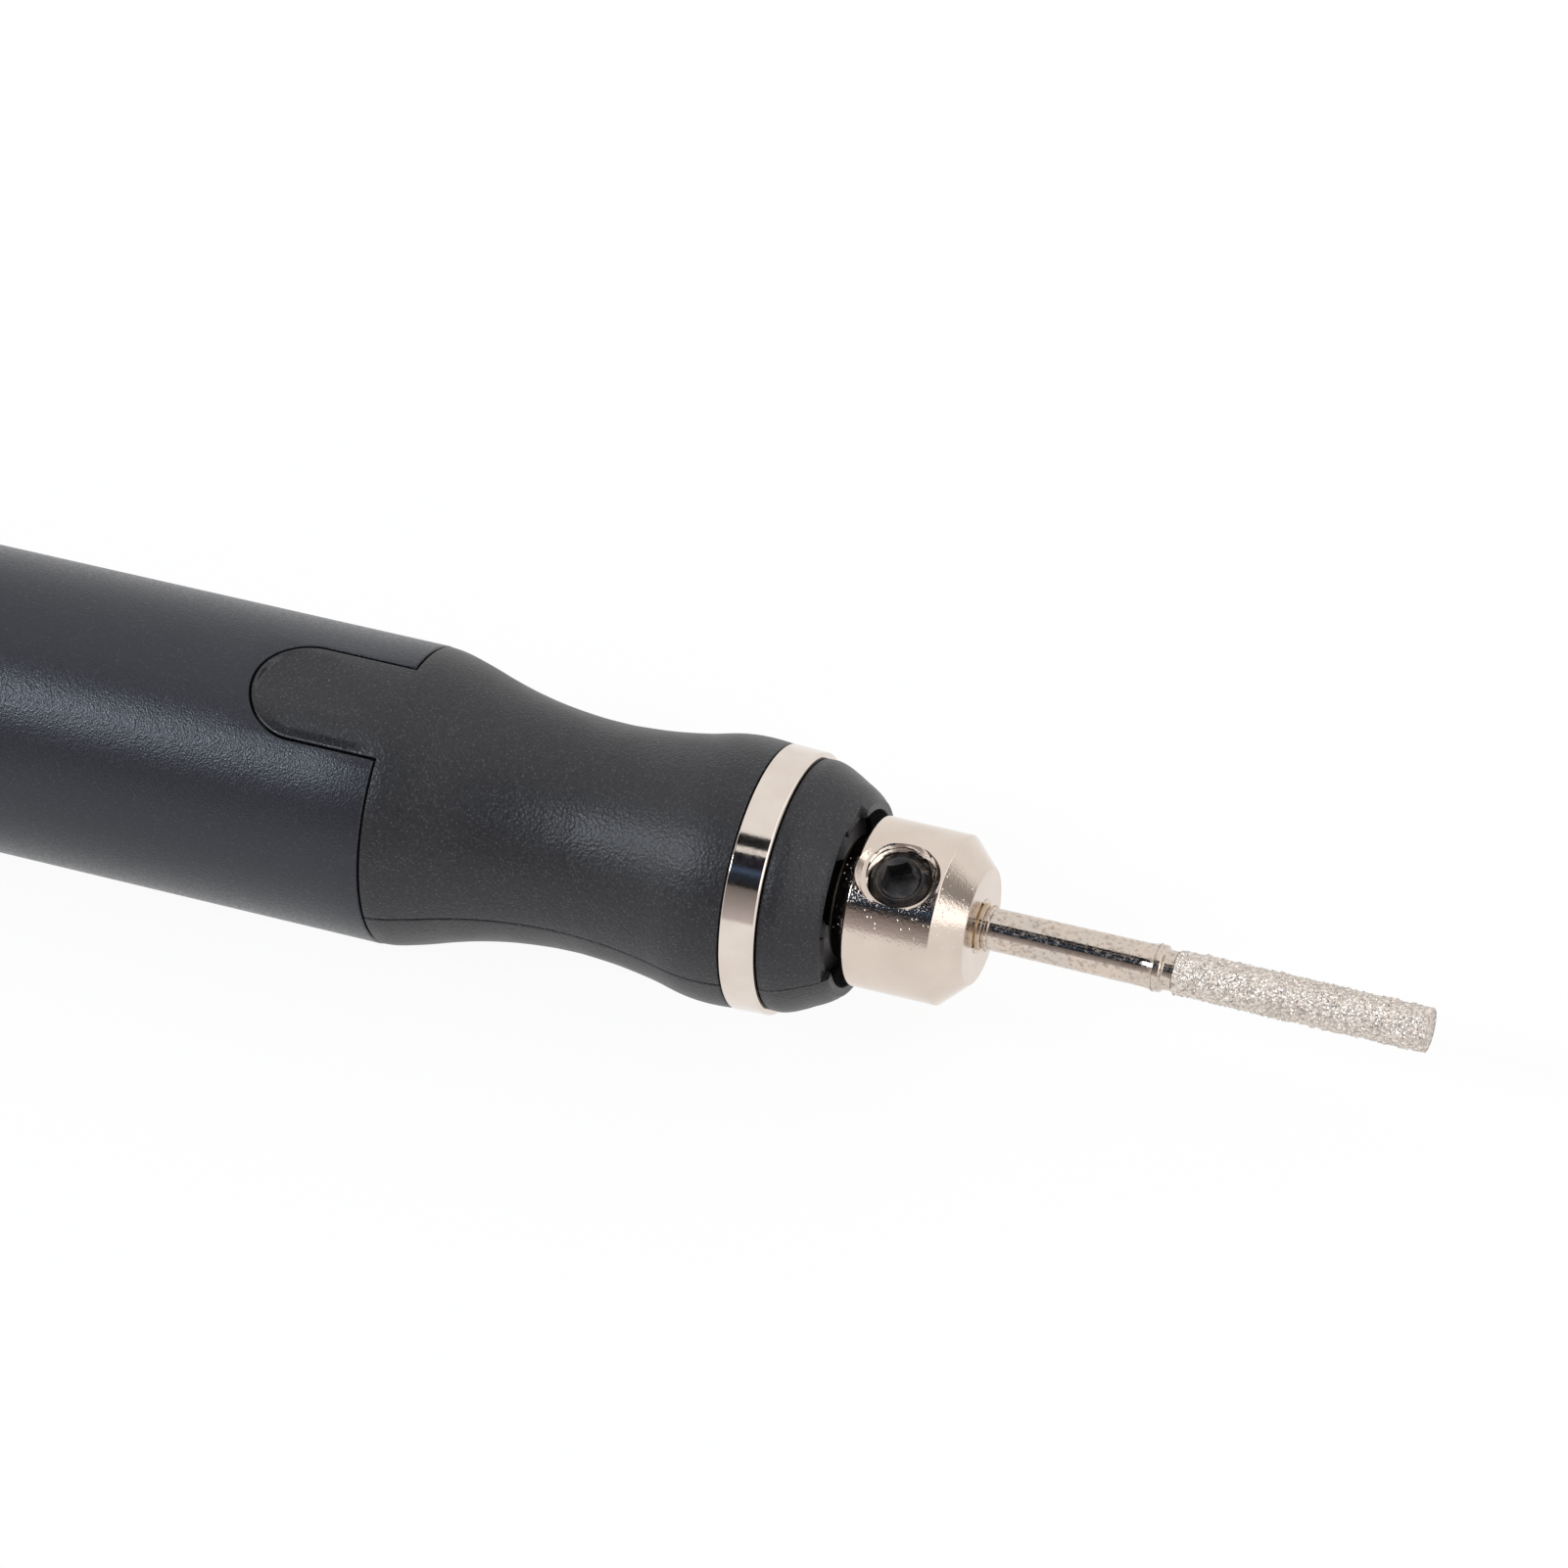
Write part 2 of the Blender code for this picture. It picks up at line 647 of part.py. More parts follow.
def drive_coupler():
    """Turned chuck: a neck on the motor's shaft, a bit bore in front and a radial screw hole."""
    shaft_bore = open_radius(shaft_radius, press_gap, small_sides)
    bit_bore = open_radius(bit_radius, slide_gap, small_sides)
    shaft_end_x = bit_rear_x - press_gap
    coupler = piece(turned([(neck_rear_x, shaft_bore), (neck_rear_x, neck_radius),
                            (coupler_rear_x, neck_radius),
                            (coupler_rear_x, coupler_radius - coupler_edge),
                            (coupler_rear_x + coupler_edge, coupler_radius),
                            (coupler_front_x - coupler_chamfer, coupler_radius),
                            (coupler_front_x, coupler_face_radius),
                            (coupler_front_x, bit_bore + bore_chamfer),
                            (coupler_front_x - bore_chamfer, bit_bore),
                            (shaft_end_x, bit_bore), (shaft_end_x, shaft_bore)], barrel_sides),
                    "drive_coupler", nickel, spindle_axis)
    hole = turned(rod_outline(0, coupler_radius + cut_overrun,
                              open_radius(screw_radius, slide_gap, small_sides)),
                  small_sides, closed=False)
    combine(coupler, cutter(hole, "screw_hole_cutter", screw_axis, ORIGIN, UPRIGHT))


def chuck_screw():
    """Headless set screw whose point bears on the bit's shank."""
    low = open_radius(bit_radius, slide_gap, small_sides)
    high = low + screw_length
    screw = piece(turned(rod_outline(low, high, screw_radius, screw_edge, screw_edge), small_sides,
                         closed=False), "chuck_screw", black_oxide, screw_axis, ORIGIN, UPRIGHT)
    corner = hex_flat / math.cos(math.pi / 6)
    socket = prism([(corner * math.cos(k * math.pi / 3), corner * math.sin(k * math.pi / 3))
                    for k in range(6)], "X", high - hex_depth, high + cut_overrun)
    combine(screw, cutter(socket, "hex_cutter", screw_axis, ORIGIN, UPRIGHT))


def engraving_bit():
    """Steel shank with a small lip and neck, and the diamond-coated head on its end."""
    neck_x = head_rear_x - bit_neck_length
    core = head_radius - head_skin - press_gap
    head_end_x = bit_tip_x - head_skin
    neck = bit_radius - bit_neck_drop
    piece(turned([(bit_rear_x, 0), (bit_rear_x, bit_radius - bit_end_chamfer),
                  (bit_rear_x + bit_end_chamfer, bit_radius),
                  (neck_x - bit_lip_width - lip_rise, bit_radius),
                  (neck_x - bit_lip_width, bit_radius + lip_rise), (neck_x, bit_radius + lip_rise),
                  (neck_x + lip_rise, neck), (head_rear_x - press_gap, neck),
                  (head_rear_x - press_gap, core), (head_end_x - press_gap, core),
                  (head_end_x - press_gap, 0)], small_sides, closed=False),
          "bit_shank", bit_steel, bit_axis)
    piece(turned([(head_end_x, 0), (head_end_x, core + press_gap), (head_rear_x, core + press_gap),
                  (head_rear_x, head_radius), (bit_tip_x, head_radius), (bit_tip_x, 0)],
                 small_sides, closed=False), "bit_diamond_head", diamond_grit, bit_axis)


def motor_case():
    """Drawn steel can, its front bush, the two magnets, the plastic end cap and its bush."""
    front_hole = bush_radius + press_gap
    piece(turned([(motor_rear_x, motor_bore), (motor_rear_x, motor_radius),
                  (motor_front_x - motor_edge, motor_radius),
                  (motor_front_x, motor_radius - motor_edge), (motor_front_x, front_hole),
                  (motor_front_x - motor_wall, front_hole),
                  (motor_front_x - motor_wall, motor_bore)], inner_sides),
          "motor_can", zinc_steel, pen_axis)
    bush_front_x = motor_front_x + bush_stand
    bush_bore = open_radius(shaft_radius, run_gap, small_sides)
    piece(turned(ring_outline(bush_front_x - bush_length, bush_front_x, bush_bore, bush_radius),
                 small_sides), "motor_front_bush", bronze, pen_axis)
    magnet_outer = motor_bore - press_gap
    for name, turn in (("motor_magnet_upper", 0), ("motor_magnet_lower", math.pi)):
        piece(turned_sector(ring_outline(magnet_rear_x, magnet_front_x,
                                         magnet_outer - magnet_wall, magnet_outer),
                            (-magnet_half_angle, magnet_half_angle), pin_sides),
              name, ferrite, pen_axis, ORIGIN, (turn, 0, 0))
    plug_radius = motor_bore - press_gap
    pocket_radius = rear_bush_radius + press_gap
    pocket_floor_x = end_cap_front_x - rear_bush_length - press_gap
    cap = piece(turned([(end_cap_rear_x, shaft_radius + fit_gap),
                        (end_cap_rear_x, motor_radius - press_gap),
                        (motor_rear_x - press_gap, motor_radius - press_gap),
                        (motor_rear_x - press_gap, plug_radius), (end_cap_front_x, plug_radius),
                        (end_cap_front_x, pocket_radius), (pocket_floor_x, pocket_radius),
                        (pocket_floor_x, shaft_radius + fit_gap)], inner_sides),
                "motor_end_cap", ivory_plastic, pen_axis)
    slot_half_width = brush_thickness / 2 + press_gap
    for side in (-1, 1):
        centre = side * terminal_offset
        slot = prism(rectangle(centre - slot_half_width, centre + slot_half_width,
                               -brush_half_height - press_gap, brush_half_height + press_gap),
                     "X", end_cap_rear_x - cut_overrun, end_cap_front_x + cut_overrun)
        combine(cap, cutter(slot, "terminal_cutter", pen_axis))
    piece(turned(ring_outline(end_cap_front_x - rear_bush_length, end_cap_front_x, bush_bore,
                              rear_bush_radius), small_sides), "motor_rear_bush", bronze, pen_axis)


def brush_arms():
    """Leaf springs that wipe the commutator and end in the solder terminals."""
    wipe_x = (commutator_rear_x + commutator_front_x) / 2
    inner = commutator_radius + run_gap
    bend_x = end_cap_front_x + brush_thickness
    rear_x = end_cap_rear_x - terminal_length
    outer = terminal_offset + brush_thickness / 2
    arm = [(wipe_x + brush_wipe / 2, inner), (wipe_x + brush_wipe / 2, inner + brush_thickness),
           (wipe_x - brush_wipe / 2, inner + brush_thickness),
           (bend_x + brush_thickness, outer), (rear_x, outer), (rear_x, outer - brush_thickness),
           (bend_x, outer - brush_thickness), (wipe_x - brush_wipe / 2 - brush_thickness, inner)]
    for name, turn in (("brush_arm_left", 0), ("brush_arm_right", math.pi)):
        piece(prism(arm, "Z", -brush_half_height, brush_half_height), name, copper, pen_axis,
              ORIGIN, (turn, 0, 0))


def rotor():
    """Shaft with the three-pole armature, its windings and the commutator."""
    shaft_front_x = bit_rear_x - press_gap - fit_gap
    piece(turned(rod_outline(end_cap_rear_x + fit_gap, shaft_front_x, shaft_radius), small_sides,
                 closed=False), "motor_shaft", zinc_steel, spindle_axis)
    hub_bore = open_radius(shaft_radius, press_gap, small_sides)
    shoe_bore = core_radius - shoe_wall
    neck_angle = math.asin(pole_half_width / shoe_bore)
    shoe = [(shoe_bore, -neck_angle)]
    shoe += [(shoe_bore, -neck_angle - (shoe_half_angle - neck_angle) * k / corner_steps)
             for k in range(1, corner_steps + 1)]
    shoe += [(core_radius, shoe_half_angle * (k / corner_steps - 1))
             for k in range(2 * corner_steps + 1)]
    shoe += [(radius, -angle) for radius, angle in reversed(shoe[:corner_steps + 1])]
    hub_angle = math.atan(pole_half_width / hub_radius)
    hub_corner = math.hypot(pole_half_width, hub_radius)
    pole_shape = [(hub_corner, -hub_angle)] + shoe + [(hub_corner, hub_angle)]
    outline = [(radius * math.sin(angle + math.tau * pole / pole_count),
                radius * math.cos(angle + math.tau * pole / pole_count))
               for pole in range(pole_count) for radius, angle in pole_shape]
    core = piece(prism(outline, "X", core_rear_x, core_front_x), "armature_core", lamination,
                 spindle_axis)
    hole = turned(rod_outline(core_rear_x - cut_overrun, core_front_x + cut_overrun, hub_bore),
                  small_sides, closed=False)
    combine(core, cutter(hole, "core_bore_cutter", spindle_axis))
    coil_middle = (core_rear_x + core_front_x) / 2
    half_length = (core_front_x - core_rear_x) / 2
    inner = rectangle(coil_middle - half_length - coil_gap, coil_middle + half_length + coil_gap,
                      -pole_half_width - coil_gap, pole_half_width + coil_gap)
    outer = rectangle(coil_middle - half_length - coil_overhang,
                      coil_middle + half_length + coil_overhang, -coil_half_width, coil_half_width)
    coil_top = math.sqrt(shoe_bore ** 2 - coil_half_width ** 2) - coil_gap
    for pole in range(pole_count):
        piece(frame_prism(outer, inner, "Z", hub_radius + coil_gap, coil_top),
              f"armature_winding_{pole + 1}", copper, spindle_axis, ORIGIN,
              (-math.tau * pole / pole_count, 0, 0))
    commutator = piece(turned(ring_outline(commutator_rear_x, commutator_front_x, hub_bore,
                                           commutator_radius), small_sides),
                       "commutator", copper, spindle_axis)
    for pole in range(pole_count):
        groove = prism(rectangle(-commutator_slot / 2, commutator_slot / 2,
                                 commutator_radius - commutator_slot,
                                 commutator_radius + cut_overrun), "X",
                       commutator_rear_x - cut_overrun, commutator_front_x - commutator_slot)
        turn = math.tau * (pole + 0.5) / pole_count
        combine(commutator, cutter(groove, "segment_cutter", spindle_axis, ORIGIN, (turn, 0, 0)))


def carrier():
    """Moulded trough with ribs that hold the two boards and the cell."""
    ribs = [(board_front_x, board_front_x - board_rib_width, board_rib_radius),
            (board_rear_x + board_rib_width, board_rear_x, board_rib_radius)]
    for share in cell_rib_shares:
        middle = cell_front_x - share * cell_length
        ribs.append((middle + cell_rib_width / 2, middle - cell_rib_width / 2,
                     cell_radius + fit_gap))
    ribs += [(charge_front_x, charge_front_x - charge_rib_width, board_rib_radius),
             (carrier_rear_x + charge_rib_width, carrier_rear_x, board_rib_radius)]
    inner = []
    for front, rear, radius in ribs:
        inner += [(front, carrier_bore), (front, radius), (rear, radius), (rear, carrier_bore)]
    outline = [(carrier_rear_x, carrier_radius), (carrier_front_x, carrier_radius),
               (carrier_front_x, carrier_bore)] + inner[:-1]
    quarter = math.pi / 2
    bm = turned_sector(outline, (quarter, 3 * quarter), inner_sides // 2)
    for vert in bm.verts:
        if vert.co.z > -carrier_rim_drop:
            vert.co.z = -carrier_rim_drop
    trough = piece(bm, "inner_carrier", ivory_plastic, pen_axis)
    for name, front, rear, bottom in (
            ("board_seat_cutter", board_front_x + fit_gap, board_rear_x - fit_gap, board_bottom),
            ("charge_seat_cutter", charge_front_x + fit_gap, carrier_rear_x - cut_overrun,
             charge_board_bottom)):
        seat = prism(rectangle(rear, front, bottom - fit_gap, cut_overrun), "Y",
                     -carrier_bore, carrier_bore)
        combine(trough, cutter(seat, name, pen_axis))
    for x, y in board_screw_places:
        hole = turned(rod_outline(-board_screw_length - press_gap, cut_overrun,
                                  board_screw_radius + press_gap), pin_sides, closed=False)
        combine(trough, cutter(hole, "carrier_screw_cutter", pen_axis, (x, y, board_top), UPRIGHT))


def main_board():
    """Circuit board with the switch, the LED and the driver chip, held by two screws."""
    board = piece(prism(rectangle(board_rear_x, board_front_x, -board_half_width,
                                  board_half_width), "Z", board_bottom, board_top),
                  "main_board", circuit_green, pen_axis)
    head_low = solder_gap
    head_high = head_low + board_screw_head_height
    for name, (x, y) in zip(("board_screw_front", "board_screw_rear"), board_screw_places):
        hole = turned(rod_outline(-board_thickness - cut_overrun, cut_overrun,
                                  board_screw_radius + press_gap), pin_sides, closed=False)
        combine(board, cutter(hole, name + "_cutter", pen_axis, (x, y, board_top), UPRIGHT))
        screw = piece(turned([(-board_screw_length, 0), (-board_screw_length, board_screw_radius),
                              (head_low, board_screw_radius), (head_low, board_screw_head),
                              (head_high - board_screw_slot, board_screw_head),
                              (head_high, board_screw_head - board_screw_slot), (head_high, 0)],
                             pin_sides, closed=False),
                      name, zinc_steel, pen_axis, (x, y, board_top), UPRIGHT)
        for turn in (0, math.pi / 2):
            slot = prism(rectangle(-board_screw_slot / 2, board_screw_slot / 2,
                                   -board_screw_head / 2, board_screw_head / 2), "X",
                         head_high - board_screw_slot_depth, head_high + cut_overrun)
            bmesh.ops.rotate(slot, verts=slot.verts, cent=ORIGIN,
                             matrix=Matrix.Rotation(turn, 3, "X"))
            combine(screw, cutter(slot, name + "_slot_cutter", pen_axis, (x, y, board_top),
                                  UPRIGHT))
    chip_x = board_front_x - chip_inset
    piece(prism(rectangle(chip_x - chip_half_length, chip_x + chip_half_length, -chip_half_width,
                          chip_half_width), "Z", board_base, board_base + chip_height),
          "driver_chip", chip_black, pen_axis)
    piece(prism(rectangle(led_x - led_half_length, led_x + led_half_length, -led_half_width,
                          led_half_width), "Z", board_base, led_top),
          "status_led", clear_plastic, pen_axis)
    switch = piece(prism(rectangle(-switch_half_width, switch_half_width, -switch_half_width,
                                   switch_half_width), "Z", board_base, switch_top),
                   "switch_base", chip_black, button_axis)
    socket = turned(rod_outline(switch_top - plunger_socket_depth, switch_top + cut_overrun,
                                plunger_radius + press_gap), small_sides, closed=False)
    combine(switch, cutter(socket, "plunger_socket_cutter", button_axis, ORIGIN, UPRIGHT))


def power_button():
    """Round button with a flange under the tube, and the switch plunger that it presses."""
    crown_low = barrel_radius + button_stand - button_crown
    piece(turned([(button_stem_low, 0), (button_stem_low, button_stem_radius),
                  (button_flange_low, button_stem_radius),
                  (button_flange_low, button_flange_radius),
                  (button_flange_top, button_flange_radius), (button_flange_top, button_radius),
                  (crown_low, button_radius),
                  (crown_low + button_crown, button_radius - button_crown),
                  (crown_low + button_crown, 0)], small_sides, closed=False),
          "power_button", black_plastic, button_axis, ORIGIN, UPRIGHT)
    socket_floor = switch_top - plunger_socket_depth
    piece(turned(rod_outline(socket_floor + button_travel + press_gap, plunger_top,
                             plunger_radius), small_sides, closed=False),
          "switch_plunger", ivory_plastic, button_axis, ORIGIN, UPRIGHT)


def light_pipe():
    """Clear rod that carries the LED's light to the tube's surface."""
    pipe_low = led_top + fit_gap
    pipe_top = barrel_radius + pipe_stand
    pipe_flange_low = pipe_flange_top - pipe_flange_height
    piece(turned([(pipe_low, 0), (pipe_low, pipe_radius), (pipe_flange_low, pipe_radius),
                  (pipe_flange_low, pipe_flange_radius), (pipe_flange_top, pipe_flange_radius),
                  (pipe_flange_top, pipe_radius), (pipe_top, pipe_radius), (pipe_top, 0)],
                 small_sides, closed=False), "light_pipe", clear_plastic, pen_axis,
          (led_x, 0, 0), UPRIGHT)


def cell():
    """Lithium cell, the nickel tabs welded to its ends and the foam pad above it."""
    can_front_x = cell_front_x - cell_button_height
    piece(turned([(cell_rear_x, 0), (cell_rear_x, cell_radius - cell_edge),
                  (cell_rear_x + cell_edge, cell_radius), (can_front_x - cell_edge, cell_radius),
                  (can_front_x, cell_radius - cell_edge), (can_front_x, cell_button_radius),
                  (cell_front_x, cell_button_radius), (cell_front_x, 0)], inner_sides,
                 closed=False), "lithium_cell", cell_wrap, pen_axis)
    for name, side, end_x, edge_x, top in (
            ("cell_tab_front", 1, cell_front_x, board_rear_x, board_top),
            ("cell_tab_rear", -1, cell_rear_x, charge_front_x, charge_board_top)):
        near = end_x + side * press_gap
        far = near + side * tab_thickness
        foot = edge_x + side * tab_foot
        low = top + solder_gap
        piece(prism([(near, tab_rise), (near, low), (foot, low), (foot, low + tab_thickness),
                     (far, low + tab_thickness), (far, tab_rise)], "Y", -tab_half_width,
                    tab_half_width), name, zinc_steel, pen_axis)
    middle = (cell_front_x + cell_rear_x) / 2
    half_length = cell_length * pad_length_share / 2
    piece(turned_sector(ring_outline(middle - half_length, middle + half_length,
                                     cell_radius + press_gap, clear_bore - press_gap),
                        (-pad_half_angle, pad_half_angle), pin_sides // 2),
          "cell_foam_pad", foam, pen_axis)


def charging_port():
    """Charge board with its chip, the port's steel shell and the contact tongue in it."""
    piece(prism(rectangle(charge_rear_x, charge_front_x, -charge_board_half_width,
                          charge_board_half_width), "Z", charge_board_bottom, charge_board_top),
          "charge_board", circuit_green, pen_axis)
    chip_x = charge_front_x - charger_inset
    chip_side = charger_margin - charge_board_half_width
    piece(prism(rectangle(chip_x - charger_half_width, chip_x + charger_half_width, chip_side,
                          chip_side + 2 * charger_half_width), "Z", charge_board_base,
                charge_board_base + charger_height), "charger_chip", chip_black, pen_axis)
    rear = port_mouth_x + port_length
    inner_half_width = port_half_width - port_wall
    inner_half_height = port_half_height - port_wall
    piece(frame_prism(stadium(port_half_width, port_half_height, 2 * corner_steps),
                      stadium(inner_half_width, inner_half_height, 2 * corner_steps), "X",
                      port_mouth_x, rear), "usb_receptacle", zinc_steel, pen_axis)
    block = piece(prism(stadium(inner_half_width - press_gap, inner_half_height - press_gap,
                                2 * corner_steps), "X", rear - port_base, rear - press_gap),
                  "usb_contact_tongue", chip_black, pen_axis)
    tongue = prism(rectangle(-port_tongue_half_width, port_tongue_half_width,
                             -port_tongue_half_height, port_tongue_half_height), "X",
                   port_mouth_x + port_tongue_recess, rear - port_base / 2)
    combine(block, cutter(tongue, "contact_tongue_blade", pen_axis), "UNION")


def tail_cap():
    """Pressed-in cap that closes the tube and frames the charging port."""
    wall_x = tail_x + cap_back_wall
    plug_radius = clear_bore - press_gap
    fillet = [(tail_x + cap_fillet * (1 - math.sin(angle)),
               barrel_radius - cap_fillet * (1 - math.cos(angle)))
              for angle in (math.pi / 2 * (1 - k / corner_steps)
                            for k in range(corner_steps + 1))]
    cap = piece(turned([(tail_x, 0)] + fillet
                       + [(cap_flange_x, barrel_radius), (cap_flange_x, plug_radius),
                          (plug_front_x, plug_radius), (plug_front_x, plug_radius - cap_plug_wall),
                          (wall_x, plug_radius - cap_plug_wall), (wall_x, 0)], barrel_sides,
                       closed=False), "tail_cap", black_plastic, pen_axis)
    opening = prism(stadium(port_half_width + seam_gap, port_half_height + seam_gap,
                            2 * corner_steps), "X", tail_x - cut_overrun, wall_x + cut_overrun)
    combine(cap, cutter(opening, "port_opening_cutter", pen_axis))


def leads():
    """Motor leads to the main board, and supply leads that pass the cell to the charge board."""
    main_low = board_base + lead_radius
    charge_low = charge_board_base + lead_radius
    start_x = end_cap_rear_x - terminal_length - fit_gap
    main_pad = board_half_width - lead_pad_margin
    charge_pad = charge_board_half_width - lead_pad_margin
    for name, finish, side, k in (("motor_lead_black", black_wire, -1, 0),
                                  ("motor_lead_red", red_wire, 1, 1)):
        pad_y = k * lead_spacing - main_pad
        lead(name, finish, [(start_x, side * terminal_offset, 0),
                            (start_x - lead_run, side * terminal_offset, 0),
                            (carrier_front_x + lead_run, pad_y, lead_run / 2),
                            (board_front_x, pad_y, main_low + lead_radius),
                            (board_front_x - lead_run, pad_y, main_low)])
    for name, finish, k in (("supply_lead_red", red_wire, 0), ("supply_lead_black", black_wire, 1)):
        main_y = main_pad - k * lead_spacing
        charge_y = charge_pad - k * lead_spacing
        high_y = lead_radius_on_cell * math.sin(lead_angles[k])
        high_z = lead_radius_on_cell * math.cos(lead_angles[k])
        lead(name, finish, [(board_rear_x + lead_pad_inset, main_y, main_low),
                            (board_rear_x + lead_pad_inset - lead_run / 2, main_y,
                             main_low + lead_radius),
                            (board_rear_x - cell_room / 2, high_y, high_z),
                            (cell_front_x - lead_run, high_y, high_z),
                            ((cell_front_x + cell_rear_x) / 2, high_y, high_z),
                            (cell_rear_x + lead_run, high_y, high_z),
                            (charge_front_x + cell_room / 2, high_y, high_z),
                            (charge_front_x - lead_pad_inset + lead_run / 2, charge_y,
                             charge_low + lead_radius),
                            (charge_front_x - lead_pad_inset, charge_y, charge_low)])


barrel_tube()
grip_shell("grip_shell_upper", 0)
grip_shell("grip_shell_lower", math.pi)
nose_ring()
drive_coupler()
chuck_screw()
engraving_bit()
motor_case()
brush_arms()
rotor()
carrier()
main_board()
power_button()
light_pipe()
cell()
charging_port()
tail_cap()
leads()
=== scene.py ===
"""Cordless electric engraving pen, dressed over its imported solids.

Places along the pen are measured from the rear plane of the chrome ring, forward positive. Angles
round the axis are measured from +Z towards +Y. Lengths are in millimetres until a mesh is made.
"""
from math import asin, atan2, copysign, cos, hypot, pi, radians, sin, sqrt, tau

import bmesh
import bpy
from mathutils import Euler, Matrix, Vector, geometry, noise


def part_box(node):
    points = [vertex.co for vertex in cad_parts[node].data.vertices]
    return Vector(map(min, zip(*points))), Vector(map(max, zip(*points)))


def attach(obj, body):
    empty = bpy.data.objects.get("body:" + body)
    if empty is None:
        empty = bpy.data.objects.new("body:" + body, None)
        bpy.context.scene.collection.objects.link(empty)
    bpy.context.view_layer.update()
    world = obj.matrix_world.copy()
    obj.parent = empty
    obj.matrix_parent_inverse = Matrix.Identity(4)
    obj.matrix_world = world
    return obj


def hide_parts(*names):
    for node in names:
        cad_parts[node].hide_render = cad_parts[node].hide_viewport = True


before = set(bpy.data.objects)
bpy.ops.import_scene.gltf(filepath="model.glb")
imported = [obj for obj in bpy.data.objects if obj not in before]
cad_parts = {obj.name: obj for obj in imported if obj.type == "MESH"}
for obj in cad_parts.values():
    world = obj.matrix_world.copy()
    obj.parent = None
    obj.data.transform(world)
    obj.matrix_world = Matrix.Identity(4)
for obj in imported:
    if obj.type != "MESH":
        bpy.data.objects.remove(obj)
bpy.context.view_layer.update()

MM = 0.001

# The pen's axis. It is set by the drawn tube, which lies on the bench, and by the rear plane of the
# chrome ring, which is where the lengths of the grip, the nose and the chuck are measured from.
tube_low, tube_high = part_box("barrel_tube")
axis_height = (tube_low.z + tube_high.z) / 2
ring_rear_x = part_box("nose_ring")[0].x


def x_at(place):
    """The scene's x in metres at a place along the pen."""
    return ring_rear_x + place * MM


def on_pen(place, radius, angle):
    """Point in metres at a place along the pen, a radius and an angle round its axis."""
    return Vector((x_at(place), radius * MM * sin(angle), axis_height + radius * MM * cos(angle)))


# Studio. The pen lies on a white sweep inside a light tent. The tent has a dark gap, which the
# bright metal mirrors as a dark band with a slit of light in it, and a softbox stands above it.
lens = 163.7
pen_roll = radians(1.8)
view_turn = (Euler((pen_roll, 0, 0)).to_matrix()
             @ Euler((radians(33.18), radians(7.19), radians(19.43))).to_matrix())
view_offset = Vector((0.909, 4.925, 379.6)) * MM
gap_from, gap_to = -95, 105
lamp_angle = radians(-25) - pen_roll
lamp_reach = 600.0
lamp_place = -420.0
floor_reach = 3.0
floor_glow = 0.94
white = (1.0, 1.0, 1.0)


class Pattern:
    """A tree of shader nodes, with short names for the steps that are used most."""

    def __init__(self, tree):
        self.tree = tree

    def node(self, kind, links=None, **settings):
        """Add a shader node, set its properties, and fill or link its inputs."""
        made = self.tree.nodes.new("ShaderNode" + kind)
        for name, value in settings.items():
            setattr(made, name, value)
        for name, value in (links or {}).items():
            if isinstance(value, bpy.types.NodeSocket):
                self.tree.links.new(value, made.inputs[name])
            else:
                made.inputs[name].default_value = value
        return made

    def sum(self, operation, *values):
        """Work out one value from others."""
        return self.node("Math", dict(enumerate(values)), operation=operation).outputs[0]

    def share(self, value, low, high, to_low=0.0, to_high=1.0):
        """Map a value from one range to another, clamped."""
        return self.node("MapRange", {"Value": value, "From Min": low, "From Max": high,
                                      "To Min": to_low, "To Max": to_high}).outputs[0]

    def mix(self, share, first, second, **settings):
        """Blend two colours by a share."""
        ends = [value if isinstance(value, bpy.types.NodeSocket) else (*value, 1.0)
                for value in (first, second)]
        return self.node("Mix", {0: share, 6: ends[0], 7: ends[1]}, data_type="RGBA",
                         **settings).outputs[2]

    def ramp(self, value, stops):
        """Turn a value into a colour or a grey through (position, colour) stops."""
        made = self.node("ValToRGB", {"Fac": value})
        elements = made.color_ramp.elements
        while len(elements) < len(stops):
            elements.new(1.0)
        for element, (position, colour) in zip(elements, stops):
            element.position = position
            element.color = (*(colour if isinstance(colour, tuple) else (colour,) * 3), 1.0)
        return made.outputs["Color"]

    def seen_directly(self):
        """The kinds of ray, and one where the eye meets a surface straight or through plastic."""
        rays = self.node("LightPath").outputs
        return rays, self.sum("ADD", rays["Is Camera Ray"], rays["Is Transmission Ray"])


def placed(name, data):
    """Put a new object into the scene."""
    made = bpy.data.objects.new(name, data)
    bpy.context.collection.objects.link(made)
    return made


def mesh_of(name, bm):
    """Turn a bmesh into a mesh."""
    mesh = bpy.data.meshes.new(name)
    bm.to_mesh(mesh)
    bm.free()
    return mesh


camera = placed("camera", bpy.data.cameras.new("camera"))
camera.data.lens = lens
camera.data.sensor_width = 36.0
camera.data.clip_start = 0.02
camera.data.clip_end = 20.0
camera.rotation_euler = view_turn.to_euler()
camera.location = on_pen(0, 0, 0) + view_turn @ view_offset
bpy.context.scene.camera = camera

studio = bpy.data.worlds.new("light_tent")
bpy.context.scene.world = studio
studio.use_nodes = True
studio.node_tree.nodes.clear()
tent = Pattern(studio.node_tree)
direction = tent.node("SeparateXYZ", {
    "Vector": tent.node("TexCoord").outputs["Generated"]}).outputs
round_gap = tent.share(tent.sum("ARCTAN2", direction["Y"], direction["Z"]),
                       radians(gap_from) - pen_roll, radians(gap_to) - pen_roll)


